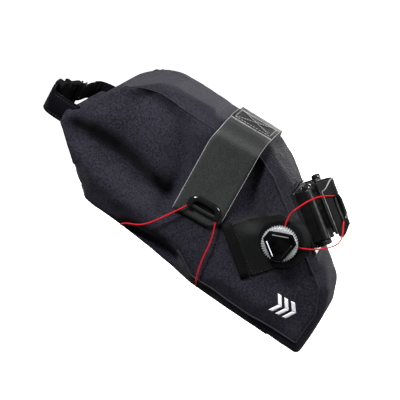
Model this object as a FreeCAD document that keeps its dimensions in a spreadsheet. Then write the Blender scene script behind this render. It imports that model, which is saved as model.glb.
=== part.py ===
import math
import os

import FreeCAD
import Part
import Sketcher

# A roll-top saddle bag that hangs behind a seatpost. Millimetres.
# The model frame has +X forward, +Y to the rider's left and +Z up.
# Its origin is the centre of the seatpost clamp, on the seatpost's own axis.

V = FreeCAD.Vector
doc = FreeCAD.newDocument("saddle_bag")

# ---------------------------------------------------------------- driving sizes
SIZES = {
    "bag_pitch": 33.5,           # nose-down tilt of the bag's long axis, degrees
    "post_rake": 17.0,           # seatpost lean from the vertical, degrees
    "wall": 2.0,                 # padded laminate
    "half_width_front": 38.0,
    "half_width_rear": 60.0,
    "nose_x": 40.0,              # front end of the bag along its own long axis
    "tail_x": -256.0,            # rear top corner along the same axis
    "top_z": 42.0,               # height of the flat top over the long axis
    "patch_thickness": 1.2,
    "binding_width": 4.0,
    "binding_rise": 1.0,
    "post_radius": 13.6,         # 27.2 mm seatpost
    "pad_reach": 5.5,            # the pad's front edges stop this far behind the axis
    "pad_back": 16.3,
    "pad_half_width": 17.0,
    "pad_length": 56.0,
    "roll_length": 50.0,
    "backing_thickness": 2.0,
    "backing_half_width": 31.0,
    "roll_radius": 5.4,
    "roll_offset": 24.4,
    "roll_depth": 5.0,
    "roll_rise": 3.4,            # the rolls sit this far above the middle of the pad
    "bag_drop": 3.3,             # the bag hangs this far down the seatpost from the middle of the pad
    "strap_inner": 14.1,
    "strap_thickness": 1.8,
    "strap_height": 54.0,
    "guide_turn": 58.0,          # the strap's lace guide faces this far forward of square
    "wing_width": 48.0,
    "wing_rear_x": -126.0,
    "wing_bottom_z": -56.0,
    "wing_rise": 8.0,            # how much higher the wing's lower edge is at the front
    "wing_thickness": 1.8,
    "wing_gap": 0.4,
    "patch_rise": 1.6,           # thickness of the box-stitched patch
    "lace_radius": 0.75,
    "tunnel_radius": 1.25,
    "dial_base_radius": 15.0,
    "dial_base_height": 5.6,
    "spool_radius": 9.5,
    "axle_radius": 2.0,
    "axle_gap": 0.06,
    "knob_radius": 17.0,
    "knob_height": 7.0,
    "cap_height": 1.8,
    "closure_height": 22.0,      # width of the rolled mouth and of its tabs
    "tab_thickness": 2.6,
    "webbing_width": 17.5,
    "webbing_thickness": 1.6,
    "buckle_thickness": 9.0,
    "buckle_width": 25.0,
    "prong_length": 13.0,
}
sheet = doc.addObject("Spreadsheet::Sheet", "sizes")
for row, (alias, number) in enumerate(SIZES.items(), start=1):
    sheet.set("A%d" % row, alias)
    sheet.set("B%d" % row, str(number))
    sheet.setAlias("B%d" % row, alias)
doc.recompute()


def size(alias):
    return float(sheet.get(alias))


# ---------------------------------------------------------------- frames
def turn(axis, degrees):
    return FreeCAD.Rotation(axis, degrees)


def shift(x, y, z):
    return FreeCAD.Placement(V(x, y, z), turn(V(0, 0, 1), 0))


POST = FreeCAD.Placement(V(0, 0, 0), turn(V(0, 1, 0), -size("post_rake")))
BAG = FreeCAD.Placement(POST.multVec(V(0, 0, -size("bag_drop"))), turn(V(0, 1, 0), size("bag_pitch")))
TAPER = math.degrees(math.atan2(size("half_width_rear") - size("half_width_front"),
                                size("nose_x") - size("tail_x")))


def side_frame(side):
    """Frame of one side panel's outer face; side is -1 for right, +1 for left.
    X runs forward along the panel and Z up it."""
    at = V(size("nose_x"), side * size("half_width_front"), 0)
    return BAG.multiply(FreeCAD.Placement(at, turn(V(0, 0, 1), -side * TAPER)))


def along_side(x):
    """Place along a tapered side panel of a point at x on the bag's long axis."""
    return (x - size("nose_x")) / math.cos(math.radians(TAPER))


# ---------------------------------------------------------------- sketch helpers
SUB_PARTS = []


def keep(obj, placement=None):
    """Record an object as one of the bag's pieces."""
    if placement is not None:
        obj.Placement = placement
    SUB_PARTS.append(obj)
    return obj


def new_body(label):
    body = doc.addObject("PartDesign::Body", label)
    body.Label = label
    return body


def plane_of(body, role):
    for feature in body.Origin.OriginFeatures:
        if feature.Role == role:
            return feature
    raise ValueError("no plane " + role)


def new_sketch(body, role, name, offset=0.0):
    sketch = body.newObject("Sketcher::SketchObject", name)
    sketch.AttachmentSupport = (plane_of(body, role), "")
    sketch.MapMode = "FlatFace"
    sketch.AttachmentOffset = shift(0, 0, offset)
    return sketch


def add_loop(sketch, points):
    """Closed outline of straight edges through the points."""
    first = sketch.GeometryCount
    count = len(points)
    for i in range(count):
        start = V(points[i][0], points[i][1], 0)
        end = V(points[(i + 1) % count][0], points[(i + 1) % count][1], 0)
        sketch.addGeometry(Part.LineSegment(start, end), False)
    for i in range(count):
        sketch.addConstraint(Sketcher.Constraint("Coincident", first + i, 2, first + (i + 1) % count, 1))


def add_circle(sketch, centre, alias, scale=""):
    """Circle whose radius is bound to a cell."""
    index = sketch.GeometryCount
    radius = size(alias)
    sketch.addGeometry(Part.Circle(V(centre[0], centre[1], 0), V(0, 0, 1), radius), False)
    number = sketch.addConstraint(Sketcher.Constraint("Radius", index, radius))
    sketch.setExpression("Constraints[%d]" % number, "sizes." + alias + scale)


def pad(body, sketch, name, length, reverse=False, both=False):
    """Pad a sketch; length is an expression over the sheet's cells."""
    feature = body.newObject("PartDesign::Pad", name)
    feature.Profile = sketch
    feature.setExpression("Length", length)
    feature.Reversed = reverse
    feature.Midplane = both
    sketch.Visibility = False
    doc.recompute()
    return feature


def pocket(body, sketch, name, length, reverse=False):
    """Cut a sketch out of the body, and make sure that it cut something."""
    before = body.Shape.Volume
    feature = body.newObject("PartDesign::Pocket", name)
    feature.Profile = sketch
    feature.setExpression("Length", length)
    feature.Reversed = reverse
    doc.recompute()
    if body.Shape.Volume > before - 1e-3:
        raise RuntimeError("pocket %s cuts nothing in %s" % (name, body.Label))
    return feature


def prism(label, points, length, role="XZ_Plane", reverse=False, both=False, offset=0.0):
    """Body made by padding one straight-edged outline."""
    body = new_body(label)
    sketch = new_sketch(body, role, label + "_outline", offset)
    add_loop(sketch, points)
    pad(body, sketch, label + "_pad", length, reverse, both)
    return body


def arc_points(centre, radius, start, end, steps):
    """Points on an arc, angles in degrees."""
    turns = [start + (end - start) * i / steps for i in range(steps + 1)]
    return [(centre[0] + radius * math.cos(math.radians(a)),
             centre[1] + radius * math.sin(math.radians(a))) for a in turns]


# ---------------------------------------------------------------- cord helpers
def cord_wire(route):
    """Straight runs joined by tangent arcs. A route entry is a point, or a point
    with the radius of the guide that it bends round."""
    points = [entry[0] if isinstance(entry, tuple) else entry for entry in route]
    fixed = [entry[1] if isinstance(entry, tuple) else None for entry in route]
    bends = [0.0] * len(points)
    taken = [0.0] * len(points)
    for i in range(1, len(points) - 1):
        bends[i] = math.pi - (points[i - 1] - points[i]).getAngle(points[i + 1] - points[i])
        if fixed[i] is not None:
            taken[i] = fixed[i] * math.tan(bends[i] / 2)
    edges = []
    radii = []
    last = points[0]
    for i in range(1, len(points) - 1):
        back = points[i - 1] - points[i]
        ahead = points[i + 1] - points[i]
        bend = bends[i]
        radius = fixed[i]
        if radius is None:
            shorter = min(back.Length - taken[i - 1], ahead.Length - taken[i + 1])
            radius = 0.45 * shorter / math.tan(bend / 2)
        reach = radius * math.tan(bend / 2)
        radii.append(round(radius, 1))
        to_back = V(back).normalize()
        to_ahead = V(ahead).normalize()
        start = points[i] + to_back * reach
        end = points[i] + to_ahead * reach
        inward = (to_back + to_ahead).normalize()
        middle = points[i] + inward * (radius / math.cos(bend / 2) - radius)
        if (start - last).Length > 1e-4:
            edges.append(Part.LineSegment(last, start).toShape())
        edges.append(Part.Arc(start, middle, end).toShape())
        last = end
    edges.append(Part.LineSegment(last, points[-1]).toShape())
    return Part.Wire(edges), radii


def swept(wire, radius):
    """Round tube along a wire."""
    first = wire.Edges[0]
    start = first.valueAt(first.FirstParameter)
    ahead = first.tangentAt(first.FirstParameter)
    profile = Part.Wire(Part.Circle(start, ahead, radius).toShape())
    return wire.makePipeShell([profile], True, False)


def cord(label, route):
    """A lace's own solid, and a check of its volume."""
    wire, radii = cord_wire(route)
    shape = swept(wire, size("lace_radius"))
    expected = math.pi * size("lace_radius") ** 2 * wire.Length
    print(label, "length", round(wire.Length, 1), "volume ratio", round(shape.Volume / expected, 4),
          "radii", radii)
    obj = doc.addObject("Part::Feature", label)
    obj.Label = label
    obj.Shape = shape
    return keep(obj)


# ---------------------------------------------------------------- bag shell
LEAN = math.radians(size("bag_pitch") + size("post_rake"))
FRONT_STEP = V(-math.cos(LEAN), 0, -math.sin(LEAN))    # from the post axis to the bag's front face
FRONT_RUN = V(-math.sin(LEAN), 0, math.cos(LEAN))      # up that face, in the bag's frame
FACE = size("pad_back") + size("backing_thickness")


def front_point(height):
    """Corner of the outline on the front face, a height along the seatpost."""
    p = FRONT_STEP * FACE + FRONT_RUN * height
    return (p.x, p.z)


# Corners of the bag seen from its side, in its own frame: x along it, z up.
TOP = size("top_z")
CHIN = (43.0, -78.0)
NOSE = (41.0, -121.0)
BELLY = (-35.0, -117.0)
KEEL = (-82.0, -114.0)
HEEL = (-146.0, -99.0)
TAIL_LOW = (-197.0, -94.0)
TAIL_HIGH = (size("tail_x"), -36.0)
MOUTH_TOP = (-210.0, 27.0)
TOP_REAR = (-188.0, TOP)
TOP_FRONT = (-78.0, TOP)
BROW = front_point(60.0)
THROAT = front_point(-64.0)
MOUTH_LOW = (-240.0, -36.0)
PROFILE = [TAIL_LOW, HEEL, KEEL, BELLY, NOSE, CHIN, THROAT, BROW, TOP_FRONT, TOP_REAR, MOUTH_TOP,
           TAIL_HIGH]
FULL_WIDTH = "140"               # more than the bag's width, trimmed by the side panels
FULL_HEIGHT = "280"              # more than its height


def unit(a, b):
    length = math.hypot(b[0] - a[0], b[1] - a[1])
    return ((b[0] - a[0]) / length, (b[1] - a[1]) / length)


def corner_inset(before, corner, after, depth):
    """The corner moved inwards by depth from both of its edges (outline runs anticlockwise)."""
    one = unit(before, corner)
    two = unit(corner, after)
    normal = (-(one[1] + two[1]), one[0] + two[0])
    scale = depth / (1 + one[0] * two[0] + one[1] * two[1])
    return (corner[0] + normal[0] * scale, corner[1] + normal[1] * scale)


def inset_outline(points, depth):
    count = len(points)
    return [corner_inset(points[i - 1], points[i], points[(i + 1) % count], depth) for i in range(count)]


# The side panels run past the closed mouth as two ears, so the gussets follow a shorter outline.
WALL = size("wall")
SHELL = PROFILE[:-1] + [MOUTH_LOW]
INNER = inset_outline(SHELL, WALL)


def wedge(label, inset):
    """The space between the two side panels, drawn from above and padded upwards."""
    front = 50.0
    rear = -265.0
    slope = (size("half_width_rear") - size("half_width_front")) / (size("nose_x") - size("tail_x"))
    at_front = size("half_width_front") - (front - size("nose_x")) * slope - inset
    at_rear = size("half_width_front") - (rear - size("nose_x")) * slope - inset
    outline = [(rear, -at_rear), (front, -at_front), (front, at_front), (rear, at_rear)]
    return prism(label, outline, FULL_HEIGHT, role="XY_Plane", both=True)


for part_side, part_name in ((-1, "side_panel_right"), (1, "side_panel_left")):
    outline = [(along_side(x), z) for x, z in PROFILE]
    panel = prism(part_name, outline, "sizes.wall", reverse=part_side < 0)
    keep(panel, side_frame(part_side))


def gusset(label, first, last):
    """The wall strip between the side panels that follows the outline from one corner to another."""
    outer = [SHELL[i % len(SHELL)] for i in range(first, last + 1)]
    inner = [INNER[i % len(SHELL)] for i in range(last, first - 1, -1)]
    strip = prism(label + "_strip", outer + inner, FULL_WIDTH, both=True)
    limit = wedge(label + "_limit", WALL / math.cos(math.radians(TAPER)))
    common = doc.addObject("Part::Common", label)
    common.Label = label
    common.Base = strip
    common.Tool = limit
    return keep(common, BAG)


gusset("bottom_panel", 0, 4)
gusset("nose_gusset", 4, 6)
gusset("front_gusset", 6, 7)
gusset("top_gusset", 7, 10)
gusset("mouth_panel", 10, 11)
gusset("rear_panel", 11, 12)

# Stiff board that keeps the keel straight, laid inside on the bottom panel.
BOARD_RUN = 60.0
BOARD_FALL = 3.0
low = [corner_inset(PROFILE[i - 1], PROFILE[i], PROFILE[i + 1], WALL + 0.5) for i in (2, 3)]
high = [corner_inset(PROFILE[i - 1], PROFILE[i], PROFILE[i + 1], WALL + 2.0) for i in (2, 3)]
board = [low[0], (low[1][0] + BOARD_RUN, low[1][1] - BOARD_FALL),
         (high[1][0] + BOARD_RUN, high[1][1] - BOARD_FALL), high[0]]
keep(prism("stiffener_board", board, "62", both=True), BAG)

# Abrasion strip sewn under the rear of the bottom panel.
GUARD_END = -70.0
GUARD_THICKNESS = 1.25
guard = [HEEL, KEEL, (GUARD_END, -114.8), (GUARD_END, -116.0), (KEEL[0] - 0.2, KEEL[1] - GUARD_THICKNESS),
         (HEEL[0] - 0.3, HEEL[1] - GUARD_THICKNESS)]
keep(prism("bottom_guard", guard, "84", both=True), BAG)

# Piping along the seam between each side panel and the gussets, from the keel to the throat.
PIPED = range(3, 7)
for part_side, part_name in ((-1, "seam_piping_right"), (1, "seam_piping_left")):
    outer = [INNER[i] for i in PIPED]
    inset = inset_outline(SHELL, WALL + size("binding_width"))
    inner = [inset[i] for i in reversed(PIPED)]
    outline = [(along_side(x), z) for x, z in outer + inner]
    binding = prism(part_name, outline, "sizes.binding_rise", reverse=part_side > 0)
    keep(binding, side_frame(part_side))


def on_side(part_side, x, z, out):
    """Model-frame point at bag coordinates x and z, standing out from a side panel."""
    return side_frame(part_side).multVec(V(along_side(x), part_side * out, z))


# ---------------------------------------------------------------- wings
WING_FRONT = size("wing_rear_x") + size("wing_width")
WING_TOP = TOP - 1.5
for part_side, part_name in ((-1, "right_wing"), (1, "left_wing")):
    low = size("wing_bottom_z")
    rear_edge = along_side(size("wing_rear_x"))
    front_edge = along_side(WING_FRONT)
    outline = [(rear_edge, low), (front_edge, low + size("wing_rise")), (front_edge, WING_TOP),
               (rear_edge, WING_TOP)]
    wing = prism(part_name, outline, "sizes.wing_thickness", reverse=part_side > 0,
                 offset=-part_side * size("wing_gap"))
    keep(wing, side_frame(part_side))

# The box-stitched patch that joins the wings over the top panel.
PATCH_TOP = TOP + size("patch_rise")
patch = [(size("wing_rear_x"), TOP), (WING_FRONT, TOP), (WING_FRONT, PATCH_TOP), (size("wing_rear_x"), PATCH_TOP)]
keep(prism("wing_anchor_patch", patch, "88", both=True), BAG)

# ---------------------------------------------------------------- lace guide on the right wing
GUIDE_AT = (-100.0, -45.0)       # middle of the guide, in the bag's frame
GUIDE_LIFT = size("wing_gap") + size("wing_thickness")
LACE_LIFT = GUIDE_LIFT + 2.4
GUIDE_BEND = 18.0
GUIDE_RUN = GUIDE_BEND * math.tan(math.radians(35.2))


def guide_body(label, flange, tunnel_route, length, placement, lift):
    """D-shaped block with a curved tunnel for the lace."""
    block = prism(label + "_block", flange, length, offset=lift)
    wire, _ = cord_wire(tunnel_route)
    tunnel = doc.addObject("Part::Feature", label + "_tunnel")
    tunnel.Shape = swept(wire, size("tunnel_radius"))
    guide = doc.addObject("Part::Cut", label)
    guide.Label = label
    guide.Base = block
    guide.Tool = tunnel
    return keep(guide, placement)


def d_outline(half, height, foot):
    """Flat-bottomed D: a straight foot and a half-ellipse over it."""
    top = [(half * math.cos(math.radians(a)), height * math.sin(math.radians(a))) for a in range(0, 181, 12)]
    return [(-half, -foot), (half, -foot)] + top


guide_route = [V(-26.0, -LACE_LIFT, -24.0), (V(-GUIDE_RUN, -LACE_LIFT, 12.0), GUIDE_BEND),
               (V(GUIDE_RUN, -LACE_LIFT, 12.0), GUIDE_BEND), V(26.0, -LACE_LIFT, -24.0)]
wing_guide_frame = side_frame(-1).multiply(shift(along_side(GUIDE_AT[0]), 0, GUIDE_AT[1]))
guide_body("wing_lace_guide", d_outline(19.0, 16.0, 5.0), guide_route, "4.8", wing_guide_frame, GUIDE_LIFT)


# ---------------------------------------------------------------- winding dials
CAP_CORNERS = (50.0, 170.0, 290.0)
CAP_SPREAD = 17.0                # half the angle of one cut corner
CAP_REACH = 14.6
LACE_SINK = 3.2                  # height of a lace over the dial's seat
DIAL_MOUTH = 10.8                # where a lace leaves the spool
STRAIGHT_RUN = 26.0              # a lace runs straight out of the dial to here


def dial(prefix, frame, lift, exits):
    """One winding dial standing on a face; frame has its axis along -Y. exits are the
    angles in which the lace leaves the housing."""
    base_high = size("dial_base_height")
    base = new_body(prefix + "_dial_housing")
    disc = new_sketch(base, "XZ_Plane", prefix + "_housing_disc", lift)
    add_circle(disc, (0, 0), "dial_base_radius")
    pad(base, disc, prefix + "_housing_pad", "sizes.dial_base_height")
    well = new_sketch(base, "XZ_Plane", prefix + "_housing_well", lift + base_high)
    add_circle(well, (0, 0), "spool_radius", " + 1.5")
    pocket(base, well, prefix + "_housing_pocket", "sizes.dial_base_height - 1.2")
    cutters = []
    for degrees in exits:
        drill = Part.makeCylinder(size("tunnel_radius") + 0.2, size("dial_base_radius") + 5.0)
        drill.Placement = FreeCAD.Placement(V(0, -(lift + LACE_SINK), 0), turn(V(0, 1, 0), 90.0 - degrees))
        cutters.append(drill)
    bores = doc.addObject("Part::Feature", prefix + "_lace_bores")
    bores.Shape = Part.makeCompound(cutters)
    housing = doc.addObject("Part::Cut", prefix + "_housing")
    housing.Label = prefix + "_housing"
    housing.Base = base
    housing.Tool = bores
    keep(housing, frame)

    spool = new_body(prefix + "_spool")
    hub = new_sketch(spool, "XZ_Plane", prefix + "_spool_disc", lift + 1.6)
    add_circle(hub, (0, 0), "spool_radius")
    add_circle(hub, (0, 0), "axle_radius", " + sizes.axle_gap")
    pad(spool, hub, prefix + "_spool_pad", "sizes.dial_base_height - 2.2")
    keep(spool, frame)

    axle = new_body(prefix + "_axle")
    pin = new_sketch(axle, "XZ_Plane", prefix + "_axle_disc", lift + 1.6)
    add_circle(pin, (0, 0), "axle_radius")
    pad(axle, pin, prefix + "_axle_pad", "sizes.dial_base_height + sizes.knob_height - 1.8")
    keep(axle, frame)

    knob = new_body(prefix + "_knob")
    ring = new_sketch(knob, "XZ_Plane", prefix + "_knob_ring", lift + base_high + 0.5)
    teeth = 36
    rim = []
    for i in range(teeth * 2):
        radius = size("knob_radius") - (0.9 if i % 2 else 0.0)
        angle = math.pi * i / teeth
        rim.append((radius * math.cos(angle), radius * math.sin(angle)))
    add_loop(ring, rim)
    add_circle(ring, (0, 0), "axle_radius", " + sizes.axle_gap")
    pad(knob, ring, prefix + "_knob_pad", "sizes.knob_height")
    keep(knob, frame)

    cap = new_body(prefix + "_cap")
    face = new_sketch(cap, "XZ_Plane", prefix + "_cap_face", lift + base_high + 0.5 + size("knob_height"))
    sides = []
    for corner in CAP_CORNERS:
        for offset in (-CAP_SPREAD, CAP_SPREAD):
            angle = math.radians(corner + offset)
            sides.append((CAP_REACH * math.cos(angle), CAP_REACH * math.sin(angle)))
    add_loop(face, sides)
    pad(cap, face, prefix + "_cap_pad", "sizes.cap_height")
    keep(cap, frame)


def add_curved_loop(sketch, nodes):
    """Closed outline. A node of two numbers is reached by a straight edge, a node of
    four by an arc through the point given by its last two."""
    for i, node in enumerate(nodes):
        start = V(nodes[i - 1][0], nodes[i - 1][1], 0)
        end = V(node[0], node[1], 0)
        if len(node) == 2:
            sketch.addGeometry(Part.LineSegment(start, end), False)
        else:
            sketch.addGeometry(Part.Arc(start, V(node[2], node[3], 0), end), False)


def curved_prism(label, nodes, length, role="XY_Plane"):
    body = new_body(label)
    sketch = new_sketch(body, role, label + "_outline")
    add_curved_loop(sketch, nodes)
    pad(body, sketch, label + "_pad", length, both=True)
    return body


# ---------------------------------------------------------------- front dial on its patch
DIAL_AT = (-23.3, -32.5)
EXIT_UP = 104.0                  # directions in which its lace leaves, degrees up from forward
EXIT_AHEAD = 12.0
PATCH_MIDDLE = (-21.0, -33.0)
patch_round = arc_points((along_side(PATCH_MIDDLE[0]), PATCH_MIDDLE[1]), 20.3, -78.0, 96.0, 12)
patch_outline = [(along_side(-72.0), -42.0), (along_side(-31.0), -75.0)]
patch_outline += patch_round + [(along_side(-38.0), -12.0)]
keep(prism("dial_patch", patch_outline, "sizes.patch_thickness"), side_frame(-1))
tape = [(along_side(-78.0), -45.0), (along_side(-36.0), -81.0), (along_side(-31.6), -76.6),
        (along_side(-73.2), -41.0)]
keep(prism("dial_patch_tape", tape, "0.9"), side_frame(-1))
FRONT_LIFT = size("patch_thickness")
front_dial_frame = side_frame(-1).multiply(shift(along_side(DIAL_AT[0]), 0, DIAL_AT[1]))
dial("front", front_dial_frame, FRONT_LIFT, (EXIT_UP, EXIT_AHEAD))

# ---------------------------------------------------------------- second dial, on the left wing
RAIL_EXITS = (300.0, 250.0)
RAIL_LIFT = GUIDE_LIFT
RAIL_DIAL_RISE = 8.0             # its middle is this far above the guide on the other wing
rail_dial_frame = side_frame(1).multiply(
    FreeCAD.Placement(V(along_side(GUIDE_AT[0]), 0, GUIDE_AT[1] + RAIL_DIAL_RISE), turn(V(0, 0, 1), 180)))
dial("rail", rail_dial_frame, RAIL_LIFT, RAIL_EXITS)

# ---------------------------------------------------------------- seatpost cradle and strap
BACK = -size("pad_back")
REACH = -size("pad_reach")
HALF = size("pad_half_width")
BORE = size("post_radius")
lip = math.sqrt(BORE ** 2 - REACH ** 2)
cradle = [(BACK, -HALF), (REACH, -HALF), (REACH, -lip), (REACH, lip, -BORE, 0), (REACH, HALF), (BACK, HALF)]
keep(curved_prism("seatpost_pad", cradle, "sizes.pad_length"), POST)
WIDE = size("backing_half_width")
BACKING_REAR = BACK - size("backing_thickness")
backing = [(BACKING_REAR, -WIDE), (BACK, -WIDE), (BACK, WIDE), (BACKING_REAR, WIDE)]
keep(prism("pad_backing", backing, "60", role="XY_Plane", both=True), POST)

ROLL_HALF = size("roll_length") / 2
ROLL_X = -size("roll_depth")
ROLL_R = size("roll_radius")
WEB_HALF = 3.0                   # half the thickness of the web that carries a roll
for part_side, part_name in ((-1, "cushion_roll_right"), (1, "cushion_roll_left")):
    y = part_side * size("roll_offset")
    root = ROLL_X - math.sqrt(ROLL_R ** 2 - WEB_HALF ** 2)
    keyhole = [(BACK, y - WEB_HALF), (root, y - WEB_HALF), (root, y + WEB_HALF, ROLL_X + ROLL_R, y),
               (BACK, y + WEB_HALF)]
    keep(curved_prism(part_name, keyhole, "sizes.roll_length"), POST.multiply(shift(0, 0, size("roll_rise"))))


def roll_caps(label, height, radius, low):
    """A pair of moulded caps on the ends of the two cushion rolls."""
    pair = []
    for part_side in (-1, 1):
        cap = doc.addObject("Part::Cone", "%s_%s" % (label, "right" if part_side < 0 else "left"))
        cap.Radius1 = radius if low > 0 else radius - 1.2
        cap.Radius2 = radius - 1.2 if low > 0 else radius
        cap.Height = height
        cap.Placement = shift(ROLL_X, part_side * size("roll_offset"), low + size("roll_rise"))
        pair.append(cap)
    both = doc.addObject("Part::Compound", label)
    both.Label = label
    both.Links = pair
    keep(both, POST)


FOOT_HEIGHT = 4.5
roll_caps("roll_top_caps", 4.0, 4.8, ROLL_HALF)
roll_caps("roll_foot_caps", FOOT_HEIGHT, 5.0, -ROLL_HALF - FOOT_HEIGHT)

LEG_END = -4.0                   # the strap's hinge, on the left of the cradle
R_IN = size("strap_inner")
R_OUT = R_IN + size("strap_thickness")
FREE_END = math.radians(-69.0)   # the strap's free end, drawn in by the front lace
end_x, end_y = math.cos(FREE_END), math.sin(FREE_END)
loop = [(R_OUT * end_x, R_OUT * end_y), (0, R_OUT, R_OUT, 0), (LEG_END, R_OUT), (LEG_END, R_IN), (0, R_IN),
        (R_IN * end_x, R_IN * end_y, R_IN, 0)]
keep(curved_prism("seatpost_strap", loop, "sizes.strap_height"), POST)

GRIP_THICKNESS = 1.0
GRIP_REAR = BACK + 2.0
GRIP_FRONT = REACH - 0.5
grip = [(GRIP_REAR, -HALF - GRIP_THICKNESS), (GRIP_FRONT, -HALF - GRIP_THICKNESS), (GRIP_FRONT, -HALF),
        (GRIP_REAR, -HALF)]
keep(prism("hook_and_loop_patch", grip, "44", role="XY_Plane", both=True), POST)

STRAP_BEND = 16.25               # radius of the lace inside the strap's guide
STRAP_LACE_Y = -R_OUT - 2.6
BEND_X = 8.0
AWAY = math.radians(59.5)        # the lace leaves the guide this far from its straight middle
BEND_Z = STRAP_BEND * math.tan(AWAY / 2)
guide_foot = [(-2.5, -17.5), (2.0, -17.5)] + arc_points((-6.0, 0.0), 19.0, -55.0, 55.0, 12)
guide_foot += [(2.0, 17.5), (-2.5, 17.5)]
strap_block = prism("strap_guide_block", guide_foot, "9", offset=-STRAP_LACE_Y - 6.6)
strap_round = doc.addObject("Part::Cylinder", "strap_guide_seat")
strap_round.setExpression("Radius", "sizes.strap_inner + sizes.strap_thickness + 0.02")
strap_round.Height = 60.0
strap_round.Placement = shift(0, 0, -30.0)
seated = doc.addObject("Part::Cut", "strap_guide_seated")
seated.Base = strap_block
seated.Tool = strap_round


def strap_lace_point(up, distance):
    """Point in the guide's frame on the lace's line above (1) or below (-1) its bend."""
    return V(BEND_X - math.sin(AWAY) * distance, STRAP_LACE_Y, up * (BEND_Z + math.cos(AWAY) * distance))


strap_wire, _ = cord_wire([strap_lace_point(1, 26.0), (strap_lace_point(1, 0.0), STRAP_BEND),
                           (strap_lace_point(-1, 0.0), STRAP_BEND), strap_lace_point(-1, 26.0)])
strap_tunnel = doc.addObject("Part::Feature", "strap_guide_tunnel")
strap_tunnel.Shape = swept(strap_wire, size("tunnel_radius"))
strap_guide = doc.addObject("Part::Cut", "strap_lace_guide")
strap_guide.Label = "strap_lace_guide"
strap_guide.Base = seated
strap_guide.Tool = strap_tunnel
STRAP_GUIDE = POST.multiply(FreeCAD.Placement(V(0, 0, 0), turn(V(0, 0, 1), size("guide_turn"))))
keep(strap_guide, STRAP_GUIDE)

# ---------------------------------------------------------------- rolled mouth, tabs and buckle
# Drawn from above in the bag's frame: x along the bag, y across it.
CLOSURE_Z = -29.0
CLOSURE = BAG.multiply(shift(0, 0, CLOSURE_Z))


def ribbon(label, path, thickness, height, placement=CLOSURE):
    """Flat strip that follows a path of corners seen from above, thickness to its left."""
    count = len(path)
    other = []
    for i, point in enumerate(path):
        before = unit(path[i - 1], point) if i > 0 else unit(point, path[1])
        after = unit(point, path[i + 1]) if i < count - 1 else before
        normal = (-(before[1] + after[1]), before[0] + after[0])
        scale = thickness / (1 + before[0] * after[0] + before[1] * after[1])
        other.append((point[0] + normal[0] * scale, point[1] + normal[1] * scale))
    return keep(prism(label, path + other[::-1], height, role="XY_Plane", both=True), placement)


MOUTH_FRONT = -240.5
MOUTH_THICKNESS = 9.0
MOUTH_REAR = MOUTH_FRONT - MOUTH_THICKNESS
ribbon("rolled_mouth", [(MOUTH_FRONT, -50.0), (MOUTH_FRONT, 50.0)], MOUTH_THICKNESS, "sizes.closure_height")
BUCKLE_FROM = (-278.0, -20.0)
BUCKLE_RUN = unit(BUCKLE_FROM, (-268.0, 12.0))
BUCKLE_ANGLE = math.degrees(math.atan2(BUCKLE_RUN[1], BUCKLE_RUN[0]))


def down_buckle(distance, out=0.0):
    """Point a distance along the buckle's axis, and out to its rear."""
    return (BUCKLE_FROM[0] + BUCKLE_RUN[0] * distance - BUCKLE_RUN[1] * out,
            BUCKLE_FROM[1] + BUCKLE_RUN[1] * distance + BUCKLE_RUN[0] * out)


fold = arc_points((-269.0, -38.0), 8.0, -90.0, -180.0, 5)
ribbon("right_closure_tab", [(MOUTH_REAR, -46.0)] + fold + [(-277.8, -30.0), down_buckle(-0.5, 1.0)],
       size("tab_thickness"), "sizes.closure_height")
ribbon("closure_webbing", [down_buckle(37.0), down_buckle(46.0), (-259.0, 41.5)], size("webbing_thickness"),
       "sizes.webbing_width")
ribbon("left_closure_tab", [(MOUTH_REAR - 1.2, 48.0), (-257.4, 44.5)], 2.2, "sizes.closure_height")

BUCKLE = CLOSURE.multiply(FreeCAD.Placement(V(*BUCKLE_FROM, 0), turn(V(0, 0, 1), BUCKLE_ANGLE)))
# In the buckle's frame X runs along its axis, Y through its thickness and Z across it.
SOCKET_LONG = 19.0
CAVITY_HALF = size("buckle_thickness") / 2 - 1.8
HALF_WIDE = size("buckle_width") / 2
socket_outer = [(0.0, -HALF_WIDE + 3.0), (4.0, -HALF_WIDE), (SOCKET_LONG, -HALF_WIDE), (SOCKET_LONG, HALF_WIDE),
                (4.0, HALF_WIDE), (0.0, HALF_WIDE - 3.0)]
socket = new_body("buckle_socket")
shell_sketch = new_sketch(socket, "XZ_Plane", "socket_outline")
add_loop(shell_sketch, socket_outer)
pad(socket, shell_sketch, "socket_pad", "sizes.buckle_thickness", both=True)
mouth = new_sketch(socket, "YZ_Plane", "socket_mouth", SOCKET_LONG)
add_loop(mouth, [(-CAVITY_HALF, -9.6), (CAVITY_HALF, -9.6), (CAVITY_HALF, 9.6), (-CAVITY_HALF, 9.6)])
pocket(socket, mouth, "socket_cavity", "15")
windows = new_sketch(socket, "XZ_Plane", "socket_windows", 10.0)
for up in (-1, 1):
    add_loop(windows, [(6.5, up * 13.0), (14.0, up * 13.0), (14.0, up * 9.0), (6.5, up * 9.0)])
pocket(socket, windows, "socket_window_cut", "20")
keep(socket, BUCKLE)

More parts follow.
